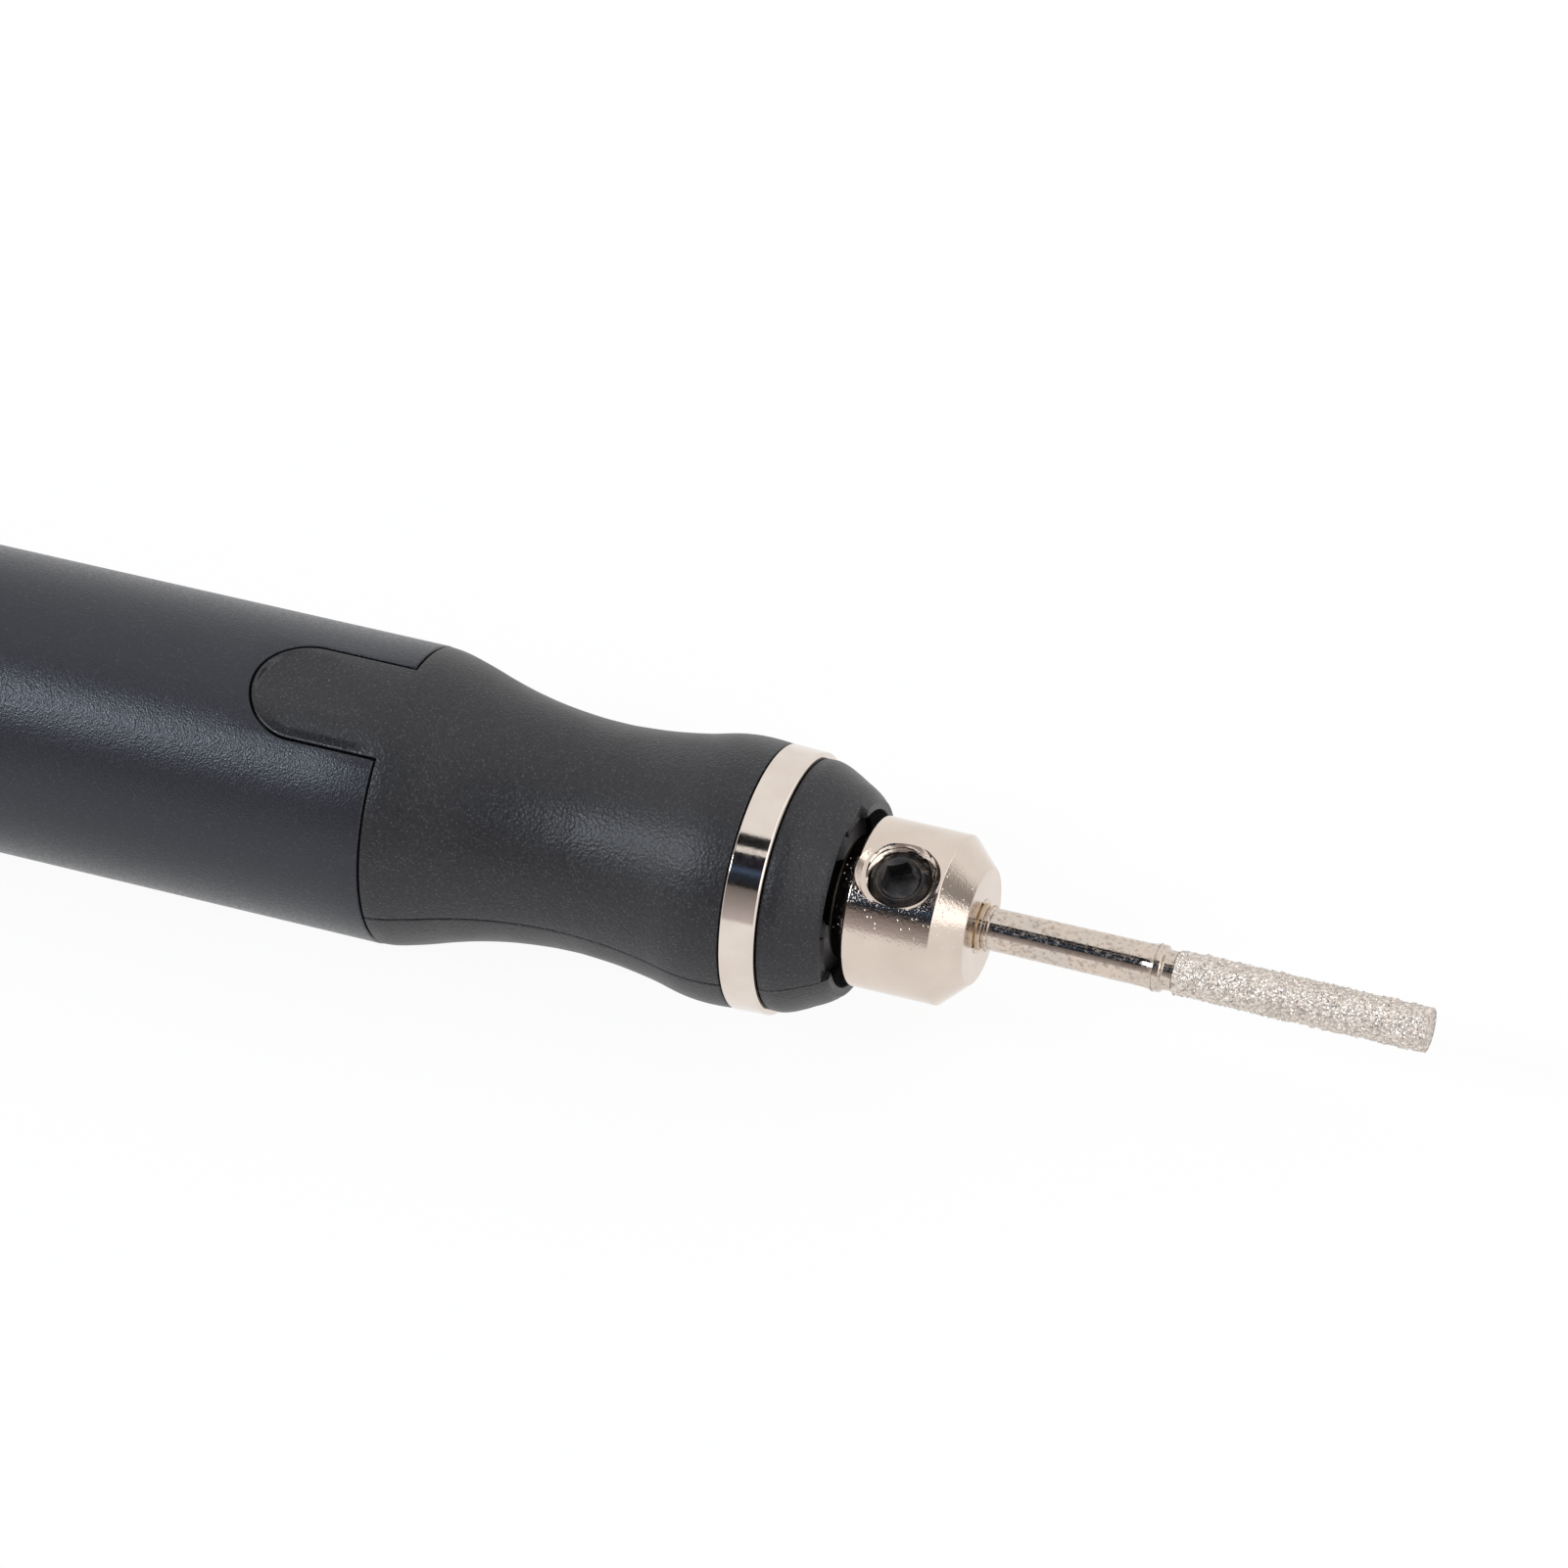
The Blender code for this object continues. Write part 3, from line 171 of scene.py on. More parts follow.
def gap_ramp(*stops):
    """Tone across the tent's gap through (degrees round the pen's axis, colour) stops."""
    return tent.ramp(round_gap, [((degrees - gap_from) / (gap_to - gap_from), colour)
                                 for degrees, colour in stops])


def along_tent(low, high):
    """Share that rises between two directions along the pen."""
    return tent.share(direction["X"], low, high)


gap_tone = gap_ramp((-73.5, white), (-72, (0.6, 0.56, 0.57)), (-58, (0.38, 0.35, 0.35)),
                    (-44, (0.2, 0.18, 0.175)), (-42, (0.02, 0.02, 0.024)),
                    (-33, (0.025, 0.035, 0.05)), (-29, (0.06, 0.1, 0.18)),
                    (-25, (0.02, 0.02, 0.03)), (0.5, (0.015, 0.015, 0.018)), (3, white))
slit = tent.sum("MULTIPLY", gap_ramp((-15, 0.0), (-13.5, 1.0), (-10, 1.0), (-8.5, 0.0)),
                along_tent(-0.216, -0.206))
front_tone = gap_ramp((-50, 1.0), (-42, 1.8), (40, 1.8), (82, 1.0))
wedge = gap_ramp((14, white), (24, (0.17, 0.165, 0.16)), (60, (0.25, 0.24, 0.235)), (82, white))
shaded = tent.mix(along_tent(0.6, 0.7), front_tone, wedge, blend_type="MULTIPLY")
gap_or_front = tent.mix(along_tent(0.33, 0.45), tent.mix(slit, gap_tone, white), shaded)
tent_tone = tent.mix(along_tent(-0.72, -0.6), white, gap_or_front)
rays, direct = tent.seen_directly()
tent_light = tent.node("Background", {"Color": tent.mix(direct, tent_tone, white),
                                      "Strength": 1.0})
tent.node("OutputWorld", {"Surface": tent_light.outputs[0]})

lamp = placed("softbox", bpy.data.lights.new("softbox", "AREA"))
lamp.data.shape = "RECTANGLE"
lamp.data.size = 0.34
lamp.data.size_y = 0.15
lamp.data.energy = 2.4
lamp.data.color = (0.85, 0.92, 1.0)
lamp.location = on_pen(lamp_place, lamp_reach, lamp_angle)
lamp.rotation_euler = Euler((-lamp_angle, 0, 0))

bm = bmesh.new()
for x, y in ((-1, -1), (1, -1), (1, 1), (-1, 1)):
    bm.verts.new((x * floor_reach, y * floor_reach, 0))
bm.faces.new(bm.verts)
sweep = placed("white_sweep", mesh_of("white_sweep", bm))
sweep_paint = bpy.data.materials.new("white_sweep")
sweep_paint.use_nodes = True
sweep_paint.node_tree.nodes.clear()
paper = Pattern(sweep_paint.node_tree)
rays, direct = paper.seen_directly()
glow_share = paper.sum("MULTIPLY", paper.sum("ADD", direct, rays["Is Glossy Ray"]), floor_glow)
matt = paper.node("BsdfDiffuse", {"Color": (0.9, 0.9, 0.9, 1.0)})
glow = paper.node("Emission", {"Color": (*white, 1.0), "Strength": 1.0})
both = paper.node("MixShader", {0: glow_share, 1: matt.outputs[0], 2: glow.outputs[0]})
paper.node("OutputMaterial", {"Surface": both.outputs[0]})
sweep.data.materials.append(sweep_paint)
bpy.context.scene.view_settings.view_transform = "Standard"


# Barrel. A drawn aluminium tube in satin black paint with a fine metallic sparkle; a slot for each
# grip tongue and the holes for the button and the light pipe are milled through its wall.
def place_of(x):
    """Place along the pen, in millimetres from the ring's rear plane."""
    return (x - ring_rear_x) / MM


tube_radius = (tube_high.z - tube_low.z) / 2 / MM
tube_wall = 0.8
tube_rear = place_of(tube_low.x)
tube_front = place_of(tube_high.x) + 0.05
tube_edge = 0.12
slot_edge = 0.06
slot_half_width = 3.12
slot_end = -28.36
slot_overrun = 0.5
button_low, button_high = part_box("power_button")
pipe_low, pipe_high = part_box("light_pipe")
button_place = place_of((button_low.x + button_high.x) / 2)
pipe_place = place_of((pipe_low.x + pipe_high.x) / 2)
holes = ((button_place, 3.02), (pipe_place, 1.12))
straight_bore = 0.5
tube_columns = 192
tube_row_step = 3.0
hole_steps = 48
tongue_step = 0.25
edge_shares = (0.0, 0.12, 0.35, 0.65, 1.0)


def edge_drop(depth, radius):
    """How far a rounded edge falls below the face at a depth inside its border."""
    if depth >= radius:
        return 0.0
    return radius - sqrt(max(0.0, radius ** 2 - (radius - max(depth, 0.0)) ** 2))


def edge_rows(start, end, edge, step):
    """Places from one rounded edge to the other, close together at both."""
    count = round((end - start) / step)
    return ([start + edge * share for share in edge_shares]
            + [start + (end - start) * k / count for k in range(1, count)]
            + [end - edge * share for share in reversed(edge_shares)])


def across(angle):
    """Signed distance of a point of the tube's face from the pen's upright middle plane."""
    return tube_radius * sin(angle)


def outside_slot(place, width, half_width, tip):
    """Distance from a tongue-shaped outline, positive outside it."""
    centre = tip + half_width
    if place > centre:
        return abs(width) - half_width
    return hypot(place - centre, width) - half_width


def tongue_line(half_width, tip, root):
    """Unrolled outline of a tongue: (place, arc) points from one root corner round to the other."""
    centre = tip + half_width
    straight = max(1, round((root - centre) / tongue_step))
    line = [(root + (centre - root) * k / straight, half_width) for k in range(straight)]
    for k in range(hole_steps + 1):
        turn = pi / 2 + pi * k / hole_steps
        line.append((centre + half_width * cos(turn), half_width * sin(turn)))
    line += [(centre + (root - centre) * k / straight, -half_width)
             for k in range(1, straight + 1)]
    return [(place, tube_radius * asin(width / tube_radius)) for place, width in line]


def wrap(bm, chains, belongs, lift):
    """Fill between (place, arc) chains on the unrolled tube and wrap the fill round the axis.

    belongs says whether an area is part of the piece, and lift gives the radius at a point.
    """
    points, edges = [], []
    for chain in chains:
        first = len(points)
        points += [Vector(point) for point in chain]
        edges += [(first + k, first + k + 1) for k in range(len(chain) - 1)]
    filled = geometry.delaunay_2d_cdt(points, edges, [], 0, 1e-5)
    corners, faces = filled[0], filled[2]
    made = {}
    for face in faces:
        middle = (corners[face[0]] + corners[face[1]] + corners[face[2]]) / 3
        if not belongs(*middle):
            continue
        for k in face:
            if k not in made:
                place, arc = corners[k]
                made[k] = bm.verts.new(on_pen(place, lift(place, arc), arc / tube_radius))
        bm.faces.new([made[k] for k in face])


def thicken(bm, inner_point):
    """Give a wrapped sheet its wall: its faces copied inward, and sides round its border."""
    grown = bmesh.ops.extrude_face_region(bm, geom=list(bm.faces))
    for item in grown["geom"]:
        if isinstance(item, bmesh.types.BMVert):
            side, up = item.co.y, item.co.z - axis_height
            item.co = inner_point(place_of(item.co.x), hypot(side, up) / MM, atan2(side, up))


def piece(bm, name, body, slot, finish, *replaced, sharp=35):
    """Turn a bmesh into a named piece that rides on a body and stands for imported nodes."""
    bmesh.ops.recalc_face_normals(bm, faces=bm.faces)
    made = placed(name, mesh_of(name, bm))
    made.data.shade_smooth()
    made.data.set_sharp_from_angle(angle=radians(sharp))
    made.data.materials.append(finish.material)
    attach(made, body)
    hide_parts(*replaced)


class Finish(Pattern):
    """A material for one kind of surface, patterned in the piece's own coordinates."""

    def __init__(self, name, colour, roughness, metallic=0.0, **sockets):
        self.material = bpy.data.materials.new(name)
        self.material.use_nodes = True
        super().__init__(self.material.node_tree)
        self.inputs = self.tree.nodes["Principled BSDF"].inputs
        sockets.update(Base_Color=(*colour, 1.0), Roughness=roughness, Metallic=metallic)
        for socket, value in sockets.items():
            self.inputs[socket.replace("_", " ")].default_value = value
        self.spot = self.node("TexCoord").outputs["Object"]

    def feed(self, socket, value):
        """Drive one of the shader's sockets by a pattern."""
        self.tree.links.new(value, self.inputs[socket])

    def axes(self):
        """The piece's own coordinates, one by one."""
        return self.node("SeparateXYZ", {"Vector": self.spot}).outputs

    def grain(self, size, detail=2.0, roughness=0.5):
        """Noise whose lumps are about the given size in millimetres."""
        return self.node("TexNoise", {"Vector": self.spot, "Scale": 1 / (size * MM),
                                      "Detail": detail, "Roughness": roughness}).outputs["Fac"]

    def cells(self, size):
        """Random cells of the given size in millimetres: their distance and their colour."""
        return self.node("TexVoronoi", {"Vector": self.spot, "Scale": 1 / (size * MM)}).outputs

    def pick(self, cells, channel="Red"):
        """A random share for each cell."""
        return self.node("SeparateColor", {"Color": cells["Color"]}).outputs[channel]

    def dots(self, size, reach, picked, channel="Red"):
        """Dots in the picked ones of some cells; reach is where a dot starts and ends to fade."""
        cells = self.cells(size)
        return self.sum("MULTIPLY", self.share(cells["Distance"], *reach, 1.0, 0.0),
                        self.share(self.pick(cells, channel), *picked))

    def colour(self, share, first, second):
        """Blend the base colour from the first to the second by a share."""
        self.feed("Base Color", self.mix(share, first, second))

    def polish(self, value, *ranges):
        """Roughness from a pattern: its low and high value, and the roughness at each."""
        self.feed("Roughness", self.share(value, *ranges))

    def bump(self, height, depth, strength=1.0, **under):
        """Raise the surface by a height pattern; the depth is in millimetres."""
        made = self.node("Bump", {"Height": height, "Distance": depth * MM,
                                  "Strength": strength, **under}).outputs[0]
        self.feed("Normal", made)
        return made


paint = Finish("barrel_paint", (0.015, 0.015, 0.019), 0.36, Specular_Tint=(0.9, 0.93, 1.0, 1.0))
flakes = paint.cells(0.11)
flake = paint.pick(flakes)
paint.colour(paint.share(flake, 0.85, 1.0), (0.014, 0.014, 0.0185), (0.026, 0.027, 0.034))
paint.polish(flake, 0.0, 1.0, 0.38, 0.26)
paint.bump(paint.sum("ADD", flakes["Distance"], paint.grain(0.16)), 0.016, 0.8)

lower_slot = pi * tube_radius
arc_from, arc_to = -lower_slot / 2, 1.5 * lower_slot
rows = edge_rows(tube_rear, tube_front, tube_edge, tube_row_step)
chains = []
for k in range(tube_columns + 1):
    arc = arc_from + (arc_to - arc_from) * k / tube_columns
    chains.append([(place, arc) for place in rows])
for place in (rows[0], rows[-1]):
    chains.append([(place, arc_from), (place, arc_to)])
for share in edge_shares:
    margin = slot_edge * share
    line = tongue_line(slot_half_width + margin, slot_end - margin, tube_front + slot_overrun)
    chains.append(line)
    chains.append([(place, lower_slot - arc) for place, arc in line])
    for middle, radius in holes:
        chains.append([(middle + (radius + margin) * cos(tau * k / hole_steps),
                        tube_radius * asin((radius + margin) / tube_radius
                                           * sin(tau * k / hole_steps)))
                       for k in range(hole_steps + 1)])


def off_openings(place, arc):
    """Distance on the tube from its nearest opening, positive on the metal."""
    angle = arc / tube_radius
    width = across(angle)
    distance = outside_slot(place, width, slot_half_width, slot_end)
    if cos(angle) > 0:
        distance = min(distance, *(hypot(place - middle, width) - radius
                                   for middle, radius in holes))
    return distance


def on_tube(place, arc):
    """Whether a point of the unrolled tube is metal."""
    return tube_rear < place < tube_front and off_openings(place, arc) > 0


def tube_lift(place, arc):
    """Radius of the tube's face, with its edges broken."""
    return (tube_radius - edge_drop(min(place - tube_rear, tube_front - place), tube_edge)
            - edge_drop(off_openings(place, arc), slot_edge))


def tube_bore(place, radius, angle):
    """Point on the bore behind a point of the face, straight below it near an opening."""
    bore = tube_radius - tube_wall
    width = abs(sin(angle)) * radius
    if width < bore * straight_bore:
        swung = asin(width / bore)
    else:
        outer = asin(bore * straight_bore / radius)
        fade = (asin(min(1.0, width / radius)) - outer) / (pi / 2 - outer)
        swung = asin(straight_bore) + fade * (pi / 2 - asin(straight_bore))
    angle_in = copysign(swung, sin(angle))
    if cos(angle) < 0:
        angle_in = pi - angle_in
    return on_pen(place, bore, angle_in)


bm = bmesh.new()
wrap(bm, chains, on_tube, tube_lift)
bmesh.ops.remove_doubles(bm, verts=bm.verts, dist=1e-7)
thicken(bm, tube_bore)
piece(bm, "painted_barrel", "housing", "black_paint", paint, "barrel_tube")


# Grip. Two like half shells, moulded in black plastic with a fine spark-eroded grain. Each hooks a
# tongue into a slot of the tube, and the pair closes round the motor with its parting line level.
grip_contour = ((-20.15, 8.225), (-19.6, 8.17), (-19.03, 8.06), (-17.73, 7.71), (-16.42, 7.30),
                (-14.86, 6.89), (-13.03, 6.55), (-10.95, 6.33), (-9.58, 6.284), (-8.86, 6.29),
                (-6.78, 6.45), (-4.69, 6.77), (-3.13, 7.13), (-2.3, 7.25), (-1.56, 7.29),
                (-0.8, 7.27), (0, 7.21))
nose_contour = ((2.0, 6.86), (2.4, 6.87), (2.66, 6.82), (2.89, 6.75), (3.14, 6.65), (3.39, 6.53),
                (3.64, 6.41), (3.89, 6.27), (4.15, 6.13), (4.40, 6.01), (4.66, 5.86), (4.91, 5.7),
                (5.17, 5.48), (5.33, 5.28), (5.6, 4.87))
shoulder = -20.11
shell_front = -0.1
shell_skin = 0.7
shell_edge = 0.08
shell_columns = 120
shell_row_step = 0.2
parting_angle = 0.005
tongue_half_width = 3.0
tongue_end = -28.23
tongue_reach = 0.5
dish_depth = 0.24
dish_tilt = 0.07
dish_rim = (0.05, 0.4)
dish_rows = (0.16, 0.24, 0.32, 0.4, 0.5, 0.65)
dish_front = (-23.7, -22.0)
dish_slant = -0.7
dish_round = 0.03
rim_band = (2.3, 2.5)
rim_fade = (-1.6, -0.2)
spigot_end = -33.07
spigot_outside = 7.15
spigot_inside = 6.0
spigot_chamfer = 0.15
spigot_gap = 0.3
body_inset = 0.5
rib_places = (-17.84, -18.84)
rib_inside = 4.2
motor_seat = 5.3
seat_slope = 0.03
ring_seat = 6.55
seat_step = 0.2
nose_rear = 1.99
nose_step = ((1.94, ring_seat), (1.95, 6.83), (nose_rear, 6.86))
mouth_rim = 5.04
ear_rise = 0.32
ear_from = (radians(26.5), radians(29))
lip_inside = 4.85
lip_back = 4.16
lip_wall = 0.05
lip_break = 0.04
pocket_depth = 0.76
pocket_back = 0.44
pocket_from = (radians(-61.4), radians(-59.6))
pocket_to = (radians(4.2), radians(6.4))
rim_edge = 0.12
rim_slope = 1.6
face_land = 0.02
body_steps, nose_steps, rim_steps, fade_steps, section_steps = 15, 14, 4, 8, 80


def flowing(points):
    """Smooth line through (place, radius) points, as a function of the place."""
    slopes = [(after[1] - before[1]) / (after[0] - before[0])
              for before, after in zip(points, points[2:])]
    slopes = [slopes[0]] + slopes + [slopes[-1]]

    def radius_at(place):
        place = min(max(place, points[0][0]), points[-1][0])
        k = max(i for i in range(len(points) - 1) if points[i][0] <= place)
        (start, low), (end, high) = points[k], points[k + 1]
        span = end - start
        t = (place - start) / span
        return (low * (1 + 2 * t) * (1 - t) ** 2 + high * t * t * (3 - 2 * t)
                + span * (slopes[k] * t * (1 - t) ** 2 - slopes[k + 1] * t * t * (1 - t)))
    return radius_at


def eased(value, low, high):
    """Share from 0 at low to 1 at high, with soft ends."""
    t = min(1.0, max(0.0, (value - low) / (high - low)))
    return t * t * (3 - 2 * t)


grip_radius = flowing(grip_contour)
nose_radius = flowing(nose_contour)
half_turn = pi / 2 - parting_angle


def on_shell(place, arc):
    """Whether a point of the unrolled half belongs to its outer skin."""
    angle = arc / tube_radius
    if abs(angle) > half_turn or place > shell_front:
        return False
    return (place > shoulder
            or outside_slot(place, across(angle), tongue_half_width, tongue_end) < 0)


def thumb_flat(place, angle, radius):
    """How far the tilted flat pressed into the tongue lies below its round face."""
    width = across(angle)
    inside = -outside_slot(place, width, tongue_half_width, tongue_end)
    below = radius - (tube_radius - dish_depth - dish_tilt * width) / cos(angle)
    below = (below + hypot(below, dish_round)) / 2
    front = place - dish_slant * width
    return below * eased(inside, *dish_rim) * (1 - eased(front, *dish_front))


def shell_lift(place, arc):
    """Radius of the shell's face: its contour, the thumb flat and its rounded edges."""
    angle = arc / tube_radius
    radius = grip_radius(place)
    depth = max(place - shoulder,
                -outside_slot(place, across(angle), tongue_half_width, tongue_end))
    depth = min(depth, shell_front - place, (half_turn - abs(angle)) * radius)
    if abs(angle) < tongue_reach:
        radius -= thumb_flat(place, angle, radius)
    return radius - edge_drop(depth, shell_edge)


def shell_section(angle):
    """Closed (place, radius) outline of the shell below its skin, with its nose, at an angle."""
    ear = eased(angle, *ear_from)
    pocket = eased(angle, *pocket_from) * (1 - eased(angle, *pocket_to))
    rim = mouth_rim + ear_rise * ear
    inside = lip_inside + pocket_depth * pocket
    back = lip_back - pocket_back * pocket
    line = [(spigot_end, spigot_inside), (spigot_end, spigot_outside - spigot_chamfer),
            (spigot_end + spigot_chamfer, spigot_outside),
            (shoulder - spigot_gap, spigot_outside)]
    for k in range(body_steps + 1):
        place = (shoulder + body_inset
                 + (shell_front - body_inset - shoulder - body_inset) * k / body_steps)
        line.append((place, grip_radius(place) - shell_skin / 2))
    line += [(shell_front - seat_step, ring_seat), *nose_step]
    for k in range(1, nose_steps + 1):
        place = nose_rear + (rim - rim_edge - nose_rear) * k / nose_steps
        line.append((place, max(nose_radius(place), inside + lip_wall)))
    top = line[-1][1]
    face = max(inside + face_land, top - rim_slope * rim_edge)
    for k in range(1, rim_steps + 1):
        turn = pi / 2 * k / rim_steps
        line.append((rim - rim_edge * (1 - sin(turn)), face + (top - face) * cos(turn)))
    return line + [(rim, inside + lip_break), (rim - lip_break, inside),
                   (back + seat_slope, inside), (back, (inside + motor_seat) / 2),
                   (back - seat_slope, motor_seat), (rib_places[0], motor_seat),
                   (rib_places[0], rib_inside), (rib_places[1], rib_inside),
                   (rib_places[1], spigot_inside)]


def skin(bm, loops, closed=False, lids=True):
    """Join a run of closed loops, and close it on itself, with lids or not at all."""
    pairs = list(zip(loops, loops[1:]))
    if closed:
        pairs.append((loops[-1], loops[0]))
    for first, second in pairs:
        for k in range(len(first)):
            corners = [first[k - 1], first[k], second[k], second[k - 1]]
            bm.faces.new([c for i, c in enumerate(corners) if c is not corners[i - 1]])
    if lids and not closed:
        bm.faces.new(loops[0])
        bm.faces.new(loops[-1])


plastic = Finish("grip_plastic", (0.012, 0.012, 0.015), 0.4, Specular_IOR_Level=0.52)
pits = plastic.cells(0.18)["Distance"]
flecks = plastic.dots(0.15, (0.2, 0.42), (0.35, 1.0))
dust = plastic.dots(1.1, (0.02, 0.04), (0.8, 0.85), "Green")
pitted = plastic.mix(plastic.share(pits, 0.15, 0.75), (0.0128, 0.0124, 0.016),
                     (0.005, 0.0048, 0.007))
plastic.colour(dust, plastic.mix(flecks, pitted, (0.055, 0.055, 0.06)), (0.22, 0.22, 0.23))
# The tongue's rim is left smooth, so that it slides into the slot
axes = plastic.axes()
behind = plastic.sum("MINIMUM", plastic.sum("SUBTRACT", axes["X"],
                                            x_at(tongue_end + tongue_half_width)), 0.0)
off_centre = plastic.node("VectorMath", {0: plastic.node("CombineXYZ", {
    "X": behind, "Y": axes["Y"]}).outputs[0]}, operation="LENGTH").outputs["Value"]
smooth_rim = plastic.sum("MULTIPLY",
                         plastic.share(off_centre, rim_band[0] * MM, rim_band[1] * MM),
                         plastic.share(axes["X"], *(x_at(shoulder + place) for place in rim_fade),
                                       1.0, 0.0))
moulded = plastic.share(plastic.grain(3.0), 0.3, 0.7, 0.38, 0.45)
plastic.feed("Roughness", plastic.node("Mix", {0: smooth_rim, 2: moulded, 3: 0.24}).outputs[0])
plastic.bump(plastic.sum("ADD", plastic.grain(0.12), pits), 0.02,
             plastic.share(smooth_rim, 0.0, 1.0, 1.0, 0.2))

rows = edge_rows(shoulder, shell_front, shell_edge, shell_row_step)
tongue_rows = [tongue_end + shell_row_step * k
               for k in range(round((shoulder - tongue_end) / shell_row_step))]
column_angles = [half_turn * (2 * k / shell_columns - 1) for k in range(shell_columns + 1)]
column_angles[1:1] = [column_angles[0] + shell_edge * share / grip_radius(shoulder)
                      for share in edge_shares[1:]]
column_angles[-1:-1] = [-angle for angle in reversed(column_angles[1:5])]
chains = []
for angle in column_angles:
    chains.append([(place, angle * tube_radius) for place in rows])
    if abs(across(angle)) < tongue_half_width - shell_edge:
        chains.append([(place, angle * tube_radius) for place in tongue_rows])
for place in (shoulder, shell_front):
    chains.append([(place, angle * tube_radius) for angle in column_angles])
for margin in [shell_edge * share for share in edge_shares] + [*dish_rows]:
    chains.append(tongue_line(tongue_half_width - margin, tongue_end + margin,
                              shoulder + margin))
section_angles = sorted({round(angle, 5) for angle in (
    [half_turn * (2 * k / section_steps - 1) for k in range(section_steps + 1)]
    + [low + (high - low) * k / fade_steps for low, high in (ear_from, pocket_from, pocket_to)
       for k in range(fade_steps + 1)])})
for half, turn in (("upper", 0.0), ("lower", pi)):
    bm = bmesh.new()
    wrap(bm, chains, on_shell, shell_lift)
    thicken(bm, lambda place, radius, angle: on_pen(place, radius - shell_skin, angle))
    skin(bm, [[bm.verts.new(on_pen(place, radius, angle))
               for place, radius in shell_section(angle)] for angle in section_angles])
    bmesh.ops.rotate(bm, verts=bm.verts, cent=on_pen(0, 0, 0),
                     matrix=Euler((turn, 0, 0)).to_matrix())
    piece(bm, "moulded_grip_" + half, "housing", "black_plastic", plastic, "grip_shell_" + half)


# Nose ring. A thin steel band, plated bright, that snaps over the nose and clamps the two shells.
# Its edges are broken, and it tapers slightly to the front.
ring_outer = (7.26, 7.17)
ring_inside = 6.81
ring_width = 1.91
ring_break = (0.07, 0.16)
edge_guard = 0.02
edge_steps = 3
fine_sides = 192


def turned(bm, outline, sides, axis_point=on_pen):
    """Turn a closed or axis-to-axis outline of (place, radius) points right round the axis."""
    loops = []
    for place, radius in outline:
        if radius == 0:
            loops.append([bm.verts.new(axis_point(place, 0, 0))] * sides)
        else:
            loops.append([bm.verts.new(axis_point(place, radius, tau * k / sides))
                          for k in range(sides)])
    skin(bm, loops, closed=outline[0][1] and outline[-1][1], lids=False)


def broken_edge(corner, before, after, size):
    """Points that round off a corner of an outline, with a guard point on each straight side."""
    corner, before, after = Vector(corner), Vector(before), Vector(after)
    back, onward = (before - corner).normalized(), (after - corner).normalized()
    start, end = corner + back * size, corner + onward * size
    arc = [start.lerp(corner, t).lerp(corner.lerp(end, t), t)
           for t in (k / edge_steps for k in range(edge_steps + 1))]
    return [tuple(point) for point in
            (start + back * edge_guard, *arc, end + onward * edge_guard)]


def rounded(outline, sizes):
    """Outline whose corners are rounded by the given sizes; zero leaves a corner sharp."""
    line = []
    for k, (corner, size) in enumerate(zip(outline, sizes)):
        if size:
            line += broken_edge(corner, outline[k - 1], outline[(k + 1) % len(outline)], size)
        else:
            line.append(corner)
    return line


plate = Finish("ring_plate", (0.84, 0.79, 0.74), 0.07, 1.0)
plate.colour(plate.share(plate.grain(1.6, 4.0), 0.35, 0.7), (0.76, 0.675, 0.605),
             (0.70, 0.615, 0.55))
plate.polish(plate.grain(0.3, 3.0), 0.3, 0.8, 0.05, 0.12)
plate.bump(plate.sum("ADD", plate.cells(0.22)["Distance"], plate.grain(0.12)), 0.0012, 0.5)
bm = bmesh.new()
turned(bm, rounded([(0, ring_inside), (0, ring_outer[0]), (ring_width, ring_outer[1]),
                    (ring_width, ring_inside)], (0, *ring_break, 0)), fine_sides)
piece(bm, "plated_nose_ring", "housing", "chrome", plate, "nose_ring")


# Chuck. A coupler turned from brass and nickel plated: pressed on the motor's shaft, bored for the
# bit in front, and tapped through its side for the screw that clamps the bit.
chuck_low, chuck_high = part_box("drive_coupler")
neck_length = 1.14
chuck_rear = place_of(chuck_low.x) + neck_length
chuck_front = place_of(chuck_high.x) - 0.08
chuck_radius = 4.635
chuck_cone = 1.5
chuck_face = 3.18
chuck_neck = 3.35
shaft_fit = 0.86
bit_bore = 1.28
bore_mouth = 1.52
mouth_depth = 0.3
bore_floor = place_of(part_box("bit_shank")[0].x) - 0.1
screw_low, screw_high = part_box("chuck_screw")
screw_place = place_of((screw_low.x + screw_high.x) / 2)
screw_angle = atan2((screw_low.y + screw_high.y) / 2,
                    (screw_low.z + screw_high.z) / 2 - axis_height)
thread_pitch = 0.7
thread_depth = 0.32
groove_width, groove_slope = 1.35, 1.7
hole_crest = 2.07
tap_reach = (0.2, 5.6)
hole_mouth = ((chuck_radius - 0.35, hole_crest - 0.06), (chuck_radius + 0.6, hole_crest + 0.77))
thread_columns = 48
thread_rows = 8


def on_screw(height, radius, angle):
    """Point in metres round the clamp screw's axis, by its height above the pen's axis."""
    centre = on_pen(screw_place, height, screw_angle)
    side = Vector((0, cos(screw_angle), -sin(screw_angle)))
    return centre + (Vector((1, 0, 0)) * cos(angle) + side * sin(angle)) * radius * MM


